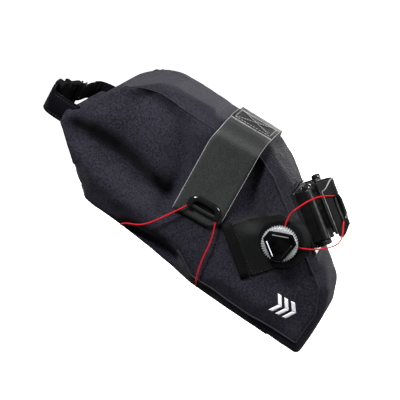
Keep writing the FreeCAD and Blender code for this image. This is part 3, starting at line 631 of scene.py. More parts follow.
def shape_side(point):
    """Hollows, ridges and fine crumples of the side panels; point is in the bag's frame."""
    x, y, z = point
    half = half_width(x)
    sideness = smooth((abs(y) - half + 14.0) / 10.0)
    if sideness > 0.0:
        push = 0.0
        for line, depth, width in HOLLOWS:
            push -= depth * math.exp(-(distance_to_line(x, z, line) / width) ** 2)
        for line, height, width in RIDGES:
            push += height * math.exp(-(distance_to_line(x, z, line) / width) ** 2)
        lean = 0.0 if y < 0 else 40.0
        crumple = noise.noise(Vector((x * 0.035 + lean, y * 0.02, z * 0.035 + x * 0.012)))
        push += 2.2 * crumple * smooth((bulge_room(x, z) + 0.3) / 3.0)
        push *= smooth(edge_distance(x, z) / 22.0)
        out = abs(y) + push * sideness
        out = min(out, half + bulge_room(x, z))
        y = math.copysign(out, y)
    fine = noise.noise(Vector((x * 0.11, y * 0.11, z * 0.11)))
    z += 0.35 * fine
    return Vector((x, y, z))


def under_wing(point):
    """Keep the shell below the wing straps that cross it; point is in the bag's frame."""
    x, y, z = point
    weight = smooth((x + 138.0) / 9.0) * smooth((-66.0 - x) / 9.0)
    z = min(z, TOP_LIMIT - REAR_SLOPE * max(0.0, REAR_SLOPE_X - x))
    if weight > 0.0 and z > SHOULDER_LOW:
        along = max(abs(y) - half_width(x) + SHOULDER_Y, 0.0) / (SHOULDER_Y - 0.6)
        above = (z - SHOULDER_LOW) / (WING_TOP - SHOULDER_LOW - 3.0)
        reach = math.hypot(along, above)
        if reach > 1.0:
            scale = 1.0 - weight * (1.0 - 1.0 / reach)
            z = SHOULDER_LOW + (z - SHOULDER_LOW) * scale
            if along > 0.0:
                start = half_width(x) - SHOULDER_Y
                y = math.copysign(start + (abs(y) - start) * scale, y)
    return Vector((x, y, z))


def recess_mouth(point):
    """Step the rolled mouth in from the ears of the side panels; point is in the bag's frame."""
    x, y, z = point
    inside = smooth((half_width(x) - 5.0 - abs(y)) / 6.0)
    near = smooth((14.0 - edge_distance(x, z)) / 10.0) * math.exp(-((z + 34.0) / 26.0) ** 2)
    spare = edge_distance(x, z)
    ear = smooth((abs(y) - half_width(x) + 12.0) / 8.0)
    if spare < 3.0:
        flat = ear * smooth((3.0 - spare) / 1.5)
        x -= spare * flat if spare > 0 else min(spare + 4.0 * (1 - ear), 0.0)
    return Vector((x + 10.0 * inside * near, y, z))


def keep_off_post(point):
    """Flat behind the seatpost pad; point is in the bag's frame."""
    gap = -(math.cos(LEAN) * point.x + math.sin(LEAN) * point.z)
    height = -math.sin(LEAN) * point.x + math.cos(LEAN) * point.z
    if abs(point.y) < POST_HALF and abs(height) < POST_HALF and gap < POST_GAP:
        return point - Vector((math.cos(LEAN), 0, math.sin(LEAN))) * (POST_GAP - gap)
    return point


def make_shell():
    shell = cage()
    inflate(shell)
    relax(shell, 1)
    back = BAG.inverted()
    for vertex in shell.data.vertices:
        point = back @ (vertex.co / MM)
        point = keep_off_post(recess_mouth(under_wing(shape_side(point))))
        vertex.co = (BAG @ point) * MM
    relax(shell, 1)
    subdivision = shell.modifiers.new("fine", "SUBSURF")
    subdivision.levels = 1
    subdivision.render_levels = 1
    apply_modifiers(shell)
    for vertex in shell.data.vertices:
        point = keep_off_post(under_wing(back @ (vertex.co / MM)))
        spare = edge_distance(point.x, point.z)
        if spare < 1.6 and abs(point.y) > half_width(point.x) - 10.0:
            point.x -= spare
        vertex.co = (BAG @ point) * MM
    shell.data.polygons.foreach_set("use_smooth", [True] * len(shell.data.polygons))
    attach(shell, "bag")
    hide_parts("side_panel_right", "side_panel_left", "bottom_panel", "nose_gusset", "front_gusset",
                "top_gusset", "mouth_panel", "rear_panel")
    return shell


SHELL = make_shell()
SURFACE = BVHTree.FromObject(SHELL, bpy.context.evaluated_depsgraph_get())
OUTSIDE = 95.0                   # well clear of the shell's sides
BELOW = -190.0                   # well below it


def on_shell(point, way, lift):
    """Where a ray from a bag-frame point meets the shell, lifted off it; None past its edge."""
    start = (BAG @ Vector(point)) * MM
    direction = (BAG.to_3x3() @ Vector(way)).normalized()
    hit = SURFACE.ray_cast(start, direction, 0.4)[0]
    if hit is None:
        return None
    return BAG.inverted() @ (hit / MM) - Vector(way).normalized() * lift


def nearest_on_shell(point, lift):
    """Closest shell point to a bag-frame point, lifted along the shell's normal."""
    hit, normal = SURFACE.find_nearest((BAG @ Vector(point)) * MM)[:2]
    inverse = BAG.inverted()
    return inverse @ (hit / MM) + (inverse.to_3x3() @ normal) * lift


# ---------------------------------------------------------------- seams and stitches
HEM_STITCH = (2.0, 1.2, 0.22)    # length, gap and radius of the stitches along a hem
PATCH_STITCH = (2.0, 1.1, 0.22)


def seam_line(side, first, last):
    """Stretch of a side panel's seam, from one corner of its outline to another, laid on the shell."""
    points = [Vector((x, side * (half_width(x) - 1.0), z)) for x, z in SEAM[first:last + 1]]
    dense = []
    for a, b in zip(points, points[1:]):
        steps = max(2, int((b - a).length / 6))
        dense += [a.lerp(b, k / steps) for k in range(steps)]
    dense.append(points[-1])
    return [nearest_on_shell(p, 0.25) for p in dense]


def stitch_row(name, line, place, body, slot, long=2.3, gap=1.1, radius=0.28, material=THREAD):
    """A row of short raised stitches along a line."""
    points = []
    faces = []
    section = circle(radius, 5)
    walked = 0.0
    cuts = []
    for a, b in zip(line, line[1:]):
        run = (b - a).length
        if run < 1e-6:
            continue
        position = walked
        while position < run:
            cuts.append((a.lerp(b, max(position, 0) / run), (b - a) / run))
            position += long + gap
        walked = position - run
    for start, way in cuts:
        side = way.orthogonal().normalized()
        lift = side.cross(way)
        base = len(points)
        for t, scale in ((0.0, 0.35), (0.25, 1.0), (0.75, 1.0), (1.0, 0.35)):
            points += [start + way * long * t + (side * a + lift * b) * scale for a, b in section]
        faces += [tuple(base + k for k in face) for face in stacked(4, 5)]
    settle(add_closed(name, points, faces, material, place), body, slot)


for side, word in SIDES:
    line = curve_points(seam_line(side, 4, 11), 2)
    welt = sweep("seam_welt_" + word, line, slab(3.2, 1.0, 0.3), PIPING, BAG, up=(0, 1, 0))
    settle(welt, "bag", "piping", "seam_piping_" + word)
    shoulder = curve_points(seam_line(side, 11, 13), 2)
    ridge = sweep("shoulder_seam_" + word, shoulder, circle(0.55, 8), PIPING, BAG)
    settle(ridge, "bag", "piping")
    corner = curve_points([p + Vector((0, side * 0.7, 0)) for p in seam_line(side, 5, 11)], 2)
    stitch_row("seam_stitches_" + word, corner, BAG, "bag", "piping")


# ---------------------------------------------------------------- wing straps and the patch that joins them
WING_REAR = -124.5
WING_FRONT = -78.5
WING_LOW = -56.0
WING_LIFT = 2.2                  # outer face of a wing over the side panel's plane
WING_HEM = 2.2                   # the hem's stitches from the edge
WING_CORNER = 11.0               # how far the front bottom corner is cut up, over the last CORNER_RUN
CORNER_RUN = 7.5
WING_LEAN = 3.0                  # how far the rear edge leans forward above the side panel
FACE_START = 17                  # first point of a wing's profile on the side panel
INNER_END = 21.0                 # half the gap between the wings on top


def wing_profile(x, side):
    """Outer face of a wing at one place along the bag, from its top end down, in the bag's frame."""
    half = half_width(x) + WING_LIFT
    top = WING_TOP
    shoulder = WING_TOP - SHOULDER_LOW
    line = []
    for k in range(7):
        t = k / 6
        line.append((INNER_END + (half - SHOULDER_Y - INNER_END) * t, top))
    for k in range(1, 11):
        a = math.radians(90 - 9 * k)
        line.append((half - SHOULDER_Y + SHOULDER_Y * math.cos(a), top - shoulder + shoulder * math.sin(a)))
    low = WING_LOW + WING_CORNER * max(0.0, (x - WING_FRONT + CORNER_RUN) / CORNER_RUN)
    for k in range(1, 21):
        t = k / 20
        line.append((half, top - shoulder + (low - top + shoulder) * t))
    lean = WING_LEAN * (WING_FRONT - x) / (WING_FRONT - WING_REAR)
    return [Vector((x + lean * smooth((z - 16.0) / 20.0), side * y, z)) for y, z in line]


def grid(count, across, point_at):
    """Rows of points, each found from its row's number and its own."""
    return [[point_at(i, k) for k in range(across)] for i in range(count)]


def grid_rim(rows):
    """The outer entries of a grid in order, once round."""
    return rows[0] + [row[-1] for row in rows[1:]] + rows[-1][-2::-1] + [row[0] for row in rows[-2:0:-1]]


def sheet_from_grid(name, rows, thickness, material, place=BAG):
    """Closed thin sheet under a grid of points, along the normals found from the grid."""
    across = len(rows[0])
    count = len(rows)
    top = [p for row in rows for p in row]
    under = []
    for i in range(count):
        for j in range(across):
            one = rows[min(i + 1, count - 1)][j] - rows[max(i - 1, 0)][j]
            two = rows[i][min(j + 1, across - 1)] - rows[i][max(j - 1, 0)]
            normal = one.cross(two).normalized()
            under.append(rows[i][j] - normal * thickness)
    if (under[0] - Vector((under[0].x, 0, 0))).length > (top[0] - Vector((top[0].x, 0, 0))).length:
        under = [2 * a - b for a, b in zip(top, under)]
    size = len(top)
    faces = []
    for i in range(count - 1):
        for j in range(across - 1):
            a = i * across + j
            quad = (a, a + 1, a + across + 1, a + across)
            faces.append(quad)
            faces.append(tuple(v + size for v in reversed(quad)))
    rim = grid_rim([list(range(i * across, (i + 1) * across)) for i in range(count)])
    for a, b in zip(rim, rim[1:] + rim[:1]):
        faces.append((a, a + size, b + size, b))
    return add_closed(name, top + under, faces, material, place)


def edge_highlight_bead(name, line, place, radius=0.32):
    """Painted highlight along the edge of a coated piece, as a fine pale bead along it."""
    return sweep(name, line, circle(radius, 6), EDGE_HIGHLIGHT_AND_THREAD, place)


def add_edge_highlight(obj, material):
    """Painted highlight on the rim faces of a sheet made by sheet_from_grid, in the pale edge material."""
    obj.data.materials.append(material)
    half = len(obj.data.vertices) // 2
    for face in obj.data.polygons:
        upper = sum(1 for v in face.vertices if v < half)
        if upper == 2:
            face.material_index = 1
            face.use_smooth = False


for side, word in SIDES:
    rows = []
    for i in range(13):
        x = WING_REAR + (WING_FRONT - WING_REAR) * i / 12
        row = wing_profile(x, side)
        ripple = 0.5 * math.sin(i * 0.9)
        for k, p in enumerate(row):
            if FACE_START < k < 30:
                p.y += side * 0.25 * ripple * math.sin((k - FACE_START) * 0.5)
        rows.append(row)
    wing = sheet_from_grid("wing_strap_" + word, rows, 1.7, COATED)
    # the wing's rim faces carry the painted edge highlight
    add_edge_highlight(wing, EDGE_HIGHLIGHT_AND_THREAD)
    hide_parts(word + "_wing")
    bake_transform(wing)
    # painted highlight beads along the wing's rear and front ends
    for end, x, radius in (("rear", WING_REAR, 0.3), ("front", WING_FRONT, 0.2)):
        line = [p + Vector((0, side * 0.05, 0)) for p in wing_profile(x, side)]
        bead = edge_highlight_bead("wing_edge_%s_%s" % (word, end), line, BAG, radius)
        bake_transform(bead)
    for end, x in (("rear", WING_REAR + WING_HEM), ("front", WING_FRONT - WING_HEM)):
        line = [p + Vector((0, side * 0.1, 0)) for p in wing_profile(x, side)[FACE_START:]]
        stitch_row("wing_hem_%s_%s" % (word, end), line, BAG, word + "_wing", "coated_fabric", *HEM_STITCH)


ANCHOR_HALF = 19.0               # half the top patch's width, and half the stitched box on it
BOX_HALF = 15.5


def top_patch():
    """Patch over the wings' inner ends, sewn down with one crossed box of stitches."""
    def point_at(i, k):
        x = WING_REAR + 2.6 + (WING_FRONT - WING_REAR - 2.2) * i / 8
        y = -ANCHOR_HALF + 2 * ANCHOR_HALF * k / 20
        drop = 1.2 * smooth((abs(y) - 10.0) / 10.0)
        return Vector((x, y, WING_TOP + 1.5 - drop + 0.15 * math.sin(k * 1.3 + i)))

    rows = grid(9, 21, point_at)
    patch = sheet_from_grid("anchor_patch_top", rows, 1.4, COATED_DARK)
    # the patch's rim faces and the bead round it carry the painted edge highlight
    add_edge_highlight(patch, EDGE_HIGHLIGHT_AND_THREAD)
    settle(patch, "bag", "coated_fabric", "wing_anchor_patch")
    border = grid_rim(rows)
    settle(edge_highlight_bead("anchor_patch_edge", border + border[:1], BAG), "bag", "coated_fabric")
    corners = [Vector((x, y, WING_TOP + 1.85 - 0.8))
               for x, y in ((WING_REAR + 6.0, -BOX_HALF), (WING_FRONT - 3.0, -BOX_HALF),
                            (WING_FRONT - 3.0, BOX_HALF), (WING_REAR + 6.0, BOX_HALF))]
    order = (0, 1, 2, 3, 0, 2, 3, 1)
    path = []
    for a, b in zip(order, order[1:]):
        for k in range(8):
            p = corners[a].lerp(corners[b], k / 8)
            path.append(p + Vector((0, 0, 0.8 - 1.2 * smooth((abs(p.y) - 10.0) / 10.0) + 0.05)))
    stitch_row("box_stitch", path, BAG, "bag", "coated_fabric", long=2.4, gap=0.7, radius=0.36, material=EDGE_HIGHLIGHT_AND_THREAD)


top_patch()


# ---------------------------------------------------------------- D-shaped lace guides
ARCH_POWER = 0.62                # below 1 squares the arch's shoulders


def arch_points(half, rise, foot, lift):
    """Squared arch of a D-shaped guide from its left foot to its right one."""
    arch = [Vector((-half, -lift, -foot))]
    for a in range(0, 181, 15):
        c = math.cos(math.radians(180 - a))
        along = math.copysign(abs(c) ** ARCH_POWER, c) * half
        arch.append(Vector((along, -lift, rise * math.sin(math.radians(a)) ** ARCH_POWER)))
    arch.append(Vector((half, -lift, -foot)))
    return arch


def lace_guide(name, place, half, rise, foot, lift, body, node, tube=2.5):
    """Glossy D-shaped tube on a sewn flange, the flange in near-black painted shade; place has X across, Z up
    and -Y outwards.
    """
    arch = arch_points(half, rise, foot, lift)
    section = oval(tube * 1.15, tube, 14)
    ring = sweep(name + "_tube", curve_points(arch, 6), section, GLOSS, place, up=(0, 1, 0))
    bar_line = [Vector((-half + 0.5, -lift + 0.9, -foot + 1.4)), Vector((0, -lift + 1.1, -foot + 0.8)),
                Vector((half - 0.5, -lift + 0.9, -foot + 1.4))]
    section = oval(tube * 0.8, tube * 0.6, 12)
    bar = sweep(name + "_bar", curve_points(bar_line, 6), section, SATIN, place, up=(0, 1, 0))
    plate = [(p.x * 0.94, p.z * 0.94) for p in arch]
    base = extrude(name + "_plate", plate, lift - 2.3, lift - 1.5, BUCKLE_BLACK, place, 0.3)
    rim = [(x * 1.27, z * 1.32) for x, z in plate]
    flange = extrude(name + "_flange", rim, lift - 2.45, lift - 1.7, SHADOW_BLACK, place, 0.3)
    guide = join(name, [ring, bar, base, flange])
    settle(guide, body, "gloss_black", node)
    seam = [Vector((x * 1.17, -(lift - 1.65), z * 1.2)) for x, z in plate[1:-1]]
    stitch_row(name + "_stitches", curve_points(seam, 3), place, body, "gloss_black",
               long=1.8, gap=1.0, radius=0.22)


# Half-width, rise, foot and height over the cloth of each guide's ring.
WING_RING = (13.8, 8.0, 2.5, 4.7)
STRAP_RING = (12.2, 4.8, 1.5, 17.9)
GUIDE_TURN = 58.0                # the strap's guide faces this far forward of square
WING_GUIDE = side_frame(-1) @ Matrix.Translation((along_side(-98.5), 0, -42.5))
lace_guide("wing_guide_ring", WING_GUIDE, *WING_RING, "right_wing", "wing_lace_guide")
STRAP_GUIDE = POST @ rotation(GUIDE_TURN, "Z")
GUIDE_ON_STRAP = STRAP_GUIDE @ Matrix.Translation((-0.8, 0, 0)) @ rotation(90.0, "Y")
lace_guide("strap_guide_ring", GUIDE_ON_STRAP, *STRAP_RING, "strap", "strap_lace_guide", 1.55)


# ---------------------------------------------------------------- dial patch
def star_sheet(name, outline, centre, thickness, lift, material, rings=9):
    """Sheet draped on the right side of the shell; outline and centre are in bag X and Z."""
    top = []
    for ring in range(rings + 1):
        t = ring / rings
        for x, z in (outline if ring else [centre]):
            px = centre[0] + (x - centre[0]) * t
            pz = centre[1] + (z - centre[1]) * t
            plane = half_width(px) + lift
            hit = on_shell((px, -OUTSIDE, pz), (0, 1, 0), lift + thickness)
            out = abs(hit.y) if hit is not None else plane - 6.0
            core = smooth((math.hypot(px - centre[0], pz - centre[1]) - 16.0) / 16.0)
            out = max(out, plane + thickness - 7.0 * core)
            out = min(out, plane + thickness + 0.2)
            top.append(Vector((px, -out, pz)))
    count = len(outline)
    under = [p + Vector((0, thickness, 0)) for p in top]
    size = len(top)
    faces = []
    for k in range(count):
        n = (k + 1) % count
        faces.append((0, 1 + k, 1 + n))
        for ring in range(rings - 1):
            a = 1 + ring * count
            faces.append((a + k, a + count + k, a + count + n, a + n))
    faces += [tuple(v + size for v in reversed(face)) for face in faces]
    edge = 1 + (rings - 1) * count
    for k in range(count):
        n = (k + 1) % count
        faces.append((edge + k, edge + k + size, edge + n + size, edge + n))
    return add_closed(name, top + under, faces, material, BAG), top[-count:]


def dense_outline(points, step=2.5):
    dense = []
    for (x1, z1), (x2, z2) in zip(points, points[1:] + points[:1]):
        steps = max(1, int(math.hypot(x2 - x1, z2 - z1) / step))
        dense += [(x1 + (x2 - x1) * k / steps, z1 + (z2 - z1) * k / steps) for k in range(steps)]
    return dense


PATCH_X = -21.0
PATCH_Z = -33.0
PATCH_ROUND = 25.0               # radius of its round end under the dial
round_end = [(PATCH_X + PATCH_ROUND * math.cos(a), PATCH_Z + PATCH_ROUND * math.sin(a))
             for a in map(math.radians, range(-75, 96, 9))]
tongue = dense_outline([(-73.0, -42.0), (-31.0, -77.0)] + round_end + [(-38.0, -9.0)])
patch, rim = star_sheet("dial_patch_cloth", tongue, (PATCH_X, PATCH_Z), 1.0, 0.25, COATED_DARK)
settle(patch, "bag", "coated_fabric", "dial_patch")
hem = [p + ((Vector((PATCH_X, p.y, PATCH_Z)) - p) * 0.07) + Vector((0, -0.15, 0)) for p in rim]
stitch_row("dial_patch_stitches", hem + [hem[0]], BAG, "bag", "coated_fabric", *PATCH_STITCH)
tape_line = dense_outline([(-78.5, -47.0), (-37.0, -84.0), (-31.4, -77.6), (-72.4, -41.2)], 2.5)
tape = star_sheet("dial_tape_cloth", tape_line, (-54.4, -60.7), 1.0, 1.0, TAPE, 4)[0]
settle(tape, "bag", "heather_fabric", "dial_patch_tape")


# ---------------------------------------------------------------- reflective mark printed on the nose
MARK_X = 10.0
MARK_Z = -87.0


def print_bar(corners):
    """One slanted bar of the mark, laid on the right side of the shell; corners are bag X and Z."""
    def point_at(i, k):
        low = [a + (b - a) * k / 8 for a, b in zip(corners[0], corners[1])]
        high = [a + (b - a) * k / 8 for a, b in zip(corners[3], corners[2])]
        x, z = (a + (b - a) * i / 3 for a, b in zip(low, high))
        return on_shell((x, -OUTSIDE, z), (0, 1, 0), 0.22)

    return sheet_from_grid("mark_bar", grid(4, 9, point_at), 0.2, PRINT)


bars = []
for step in (-10.5, -3.5, 3.5):
    for up in (-1, 1):
        foot = (MARK_X + step - 1.0, MARK_Z + 9.0 * up)
        tip = (MARK_X + step + 4.6, MARK_Z)
        bars.append(print_bar([foot, tip, (tip[0] + 3.8, tip[1]), (foot[0] + 3.8, foot[1])]))
mark = join("chevron_mark", bars)
settle(mark, "bag", "reflective", "reflective_mark")


# ---------------------------------------------------------------- guard under the bag
GUARD_REAR = -188.0
GUARD_LENGTH = 196.0
GUARD_MARGIN = 17.0              # side panels' planes to the guard's long edges


def make_guard():
    """Tough coated sheet that follows the underside from the tail to the nose."""
    def point_at(i, k):
        x = GUARD_REAR + GUARD_LENGTH * i / 30
        y = (half_width(x) - GUARD_MARGIN) * (k / 6 - 1)
        return on_shell((x, y, BELOW), (0, 0, 1), 1.3)

    rows = grid(31, 13, point_at)
    guard = sheet_from_grid("underside_guard", rows, 1.0, COATED_DARK)
    settle(guard, "bag", "coated_fabric", "bottom_guard")
    for side, word in SIDES:
        line = [row[1 if side < 0 else -2] + Vector((0, 0, -0.25)) for row in rows]
        stitch_row("guard_stitches_" + word, line, BAG, "bag", "coated_fabric", gap=1.2, radius=0.26)


make_guard()


# ---------------------------------------------------------------- rolled mouth, tabs, webbing and buckle
CLOSURE = BAG @ Matrix.Translation((0, 0, -29.0))      # its middle line lies this far down the bag
BUCKLE_START = Vector((-278.0, -20.0, 0.0))
BUCKLE_WAY = Vector((10.0, 32.0, 0.0)).normalized()
BUCKLE_OUT = Vector((-BUCKLE_WAY.y, BUCKLE_WAY.x, 0.0))
TAB_HEIGHT = 22.0
WEBBING_WIDTH = 17.5


def down_buckle(distance, out=0.0):
    """Point a distance along the buckle from its tab end, moved outwards from the bag."""
    return BUCKLE_START + BUCKLE_WAY * distance + BUCKLE_OUT * out


def closure_band(name, path, steps, height, thickness, edge, material):
    """Upright strip of cloth or webbing along a path in the closure's frame."""
    section = slab(height, thickness, edge)
    return sweep(name, curve_points(path, steps), section, material, CLOSURE, up=(0, 0, 1))


def roll_section():
    """Closed outline of a flattened roll of cloth whose free edge shows as a step."""
    outline = []
    for k in range(40):
        a = 2 * math.pi * k / 40
        grow = 1.0 + 0.14 * k / 40
        x = math.copysign(abs(math.cos(a)) ** 0.75, math.cos(a)) * 4.6 * grow
        z = math.copysign(abs(math.sin(a)) ** 0.75, math.sin(a)) * 7.2 * grow - 3.2
        outline.append((x, z))
    return outline


MOUTH_X = -249.5
MOUTH_HALF = 52.0                  # half the rolled mouth's length
roll_line = []
for k in range(25):
    y = -MOUTH_HALF + 2 * MOUTH_HALF * k / 24
    sag = 0.7 * noise.noise(Vector((y * 0.09, 3.1, 0.0)))
    roll_line.append(Vector((MOUTH_X + sag, y, sag)))
rolled = sweep("rolled_mouth_cloth", roll_line, roll_section(), HEATHER, CLOSURE, up=(0, 0, 1))
settle(rolled, "bag", "heather_fabric", "rolled_mouth")

tab_path = [Vector((-244.0, -50.0, -1.0)), Vector((-257.0, -50.5, -0.8)), Vector((-267.0, -49.5, -0.6)),
            Vector((-273.0, -46.5, -0.4)), Vector((-276.2, -41.5, 0)), Vector((-278.0, -33.0, 0)),
            down_buckle(-1.2, 1.4)]
tab = closure_band("closure_tab_right", tab_path, 6, TAB_HEIGHT, 2.6, 0.6, TAB_CLOTH)
settle(tab, "bag", "heather_fabric", "right_closure_tab")
for word, height in (("low", -8.4), ("high", 8.4)):
    line = [p + Vector((0, -1.5, height)) for p in curve_points(tab_path[:4], 6)]
    stitch_row("tab_stitches_" + word, line, CLOSURE, "bag", "heather_fabric", *PATCH_STITCH)
left_path = [Vector((-241.5, 51.0, 3.0)), Vector((-249.0, 50.6, 2.4)), Vector((-256.0, 47.5, 1.6)),
             Vector((-259.4, 41.0, 1.0))]
left_tab = closure_band("closure_tab_left", left_path, 6, TAB_HEIGHT, 2.2, 0.6, TAB_CLOTH)
settle(left_tab, "bag", "heather_fabric", "left_closure_tab")

web_path = [down_buckle(32.5, -1.2), down_buckle(41.0, -1.0), down_buckle(48.0, -0.4),
            Vector((-261.0, 38.0, 1.6)), Vector((-255.5, 47.0, 2.6))]
web = closure_band("closure_webbing_band", web_path, 10, WEBBING_WIDTH, 1.6, 0.4, WEBBING)
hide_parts("closure_webbing")
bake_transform(web)
tail_path = [down_buckle(34.0, 2.2), down_buckle(42.0, 2.5), down_buckle(49.0, 2.6), down_buckle(54.0, 4.0)]
loose = closure_band("closure_webbing_tail", tail_path, 8, WEBBING_WIDTH, 1.5, 0.4, WEBBING)
settle(loose, "buckle_plug", "webbing")
BUCKLE_TURN = math.degrees(math.atan2(BUCKLE_WAY.y, BUCKLE_WAY.x))
BUCKLE = CLOSURE @ Matrix.Translation(BUCKLE_START) @ rotation(BUCKLE_TURN, "Z")
for node in ("buckle_socket", "buckle_plug", "buckle_prong_upper", "buckle_prong_lower"):
    paint(node, BUCKLE_BLACK)
ladder = []
for x in (39.0, 45.0):
    bar = [Vector((x, 3.9, -10.0)), Vector((x, 4.3, 0)), Vector((x, 3.9, 10.0))]
    ladder.append(sweep("bar", curve_points(bar, 4), oval(1.2, 0.9, 10), BUCKLE_BLACK, BUCKLE))
settle(join("webbing_keeper", ladder), "buckle_plug", "matte_black")


# ---------------------------------------------------------------- winding dials
def lathe(name, profile, material, place, steps=48, ribs=0, depth=0.0, rib_from=0.0):
    """Closed ring turned round the local -Y axis from (radius, height) corners, with ribs cut into its rim."""
    points = []
    ring = len(profile)
    for k in range(steps):
        a = 2 * math.pi * k / steps
        cut = depth * (0.5 + 0.5 * math.cos(ribs * a)) if ribs else 0.0
        for radius, height in profile:
            r = radius - cut if radius > rib_from else radius
            points.append((r * math.cos(a), -height, r * math.sin(a)))
    faces = []
    for k in range(steps):
        n = (k + 1) % steps
        for i in range(ring):
            j = (i + 1) % ring
            faces.append((k * ring + i, k * ring + j, n * ring + j, n * ring + i))
    obj = add_object(name, points, faces, material, place, False)
    return soften(obj, 0.18, 1)


KNOB_BASE = 6.1                  # knob's foot over the dial's seat
CAP_CORNERS = (50, 170, 290)
CAP_LIGHT_AND_SHADE_BARS = ((350, SATIN), (110, CAP_HALF_HIGHLIGHT), (230, CAP_HIGHLIGHT))      # short bars beside the cap's sides, painted lit, half-lit and shaded by the way each side faces the light
HOUSING_BODY = {"front": "bag", "rail": "left_wing"}
FLANGE_PROFILE = [(9.6, 0.0), (20.6, 0.0), (20.8, 0.5), (19.6, 1.3), (15.6, 1.9), (15.2, 5.6), (9.6, 5.6),
                  (9.6, 1.2)]
KNOB_PROFILE = [(9.0, 0.0), (16.4, 0.0), (17.0, 0.7), (17.1, 4.3), (16.8, 5.4), (15.6, 6.4), (13.2, 6.9),
                (9.0, 7.0)]


def cap_outline(apothem, corner):
    """Triangle with its three corners cut off and its long sides slightly full."""
    outline = []
    for c in CAP_CORNERS:
        half = (2 * apothem - corner) * math.tan(math.radians(30))
        for side in (-1, 1):
            a = math.radians(c)
            outline.append((corner * math.cos(a) - side * half * math.sin(a),
                            corner * math.sin(a) + side * half * math.cos(a)))
        middle = math.radians(c + 60)
        for spread, grow in ((-18, 0.35), (0, 0.5), (18, 0.35)):
            at = middle + math.radians(spread)
            reach = (apothem + grow) / math.cos(math.radians(spread))
            outline.append((reach * math.cos(at), reach * math.sin(at)))
    return outline


def dial(word, place, lift, body):
    """Winding dial: black housing whose wide flange also stands for painted shade round the dial, knurled grey
    ring, and a glossy three-sided cap with a black plate painted as the shadow gap under it.
    """
    base = place @ Matrix.Translation((0, -(lift + KNOB_BASE), 0))
    seat = place @ Matrix.Translation((0, -lift, 0))
    # the flange is a base plate and also reaches past the knob as painted shade round the dial
    housing = lathe(word + "_housing_turned", FLANGE_PROFILE, SHADOW_BLACK, seat)
    settle(housing, HOUSING_BODY[word], "matte_black", word + "_housing")
    knob = lathe(word + "_knob_ring", KNOB_PROFILE, SILVER, base, steps=288, ribs=44, depth=1.1, rib_from=12.5)
    settle(knob, body, "knob_grey", word + "_knob")
    # black plate painted as the shadow gap between the cap and the ring
    parts = [extrude(word + "_cap_gap", cap_outline(11.7, 15.2), 6.0, 7.5, SHADOW_BLACK, base, 0.3),
             extrude(word + "_cap_plate", cap_outline(10.7, 14.2), 6.6, 8.9, CAP_BLACK, base, 0.7, 3)]
    # painted highlight bar on the lit side, a dimmer one on the top side and a satin black one on the shaded
    # side
    for degrees, material in CAP_LIGHT_AND_SHADE_BARS:
        a = math.radians(degrees)
        way = Vector((-math.sin(a), 0, math.cos(a))) * 7.6
        middle = Vector((9.0 * math.cos(a), -8.9, 9.0 * math.sin(a)))
        line = curve_points([middle - way, middle, middle + way], 5)
        parts.append(sweep("bar", line, oval(0.55, 0.3, 8), material, base))
    settle(join(word + "_cap_plate", parts), body, "gloss_black", word + "_cap")


FRONT_DIAL = side_frame(-1) @ Matrix.Translation((along_side(-23.3), 0, -32.5))
RAIL_DIAL = side_frame(1) @ Matrix.Translation((along_side(-100.0), 0, -37.0)) @ rotation(180.0, "Z")
FRONT_LIFT = 1.2
RAIL_LIFT = 2.2
dial("front", FRONT_DIAL, FRONT_LIFT, "front_knob")
dial("rail", RAIL_DIAL, RAIL_LIFT, "rail_knob")
for word in ("front", "rail"):
    paint(word + "_spool", IVORY)
    paint(word + "_axle", STEEL)
paint("stiffener_board", BOARD)


# ---------------------------------------------------------------- seatpost cradle and its wrap strap
ROLL_X = -4.4                    # axis of the cushion rolls beside the post
ROLL_Y = 24.4
ROLL_RADIUS = 4.2
ROLL_RISE = 3.4                  # their middle over the pad's
ROLL_WEB = -16.2                 # back of the web that carries them
ROLL_OPEN = 157.0                # the round of each roll stops this far to either side of the front
ROLL_HALF = 25.0
STRAP_OUTER = 15.9               # outer radius of the wrap strap
STRAP_HALF = 27.0                # half its height
LEG_X = -4.0                     # rear end of its straight leg, at the hinge
FREE_END = -69.0                 # the strap's free end round the post, degrees from forward


def closed_rows(name, rows, material, place):
    """Capped solid through a stack of closed rings."""
    points = [p for row in rows for p in row]
    return add_closed(name, points, stacked(len(rows), len(rows[0])), material, place)


paint("pad_backing", SATIN)
for side, word in SIDES:
    rows = []
    for k in range(33):
        z = -ROLL_HALF + 2 * ROLL_HALF * k / 32
        radius = ROLL_RADIUS * (0.98 - 0.05 * (z / ROLL_HALF) ** 2 + 0.012 * math.sin(k * 1.3))
        ring = [Vector((ROLL_WEB, side * ROLL_Y + 1.6, z + ROLL_RISE))]
        for m in range(27):
            a = math.radians(ROLL_OPEN - 2 * ROLL_OPEN * m / 26)
            x, y = ROLL_X + radius * math.cos(a), side * ROLL_Y + radius * math.sin(a)
            ring.append(Vector((x, y, z + ROLL_RISE)))
        ring.append(Vector((ROLL_WEB, side * ROLL_Y - 1.6, z + ROLL_RISE)))
        rows.append(ring)
    roll = closed_rows("cradle_roll_" + word, rows, RUBBER, POST)
    settle(roll, "bag", "cushion", "cushion_roll_" + word)

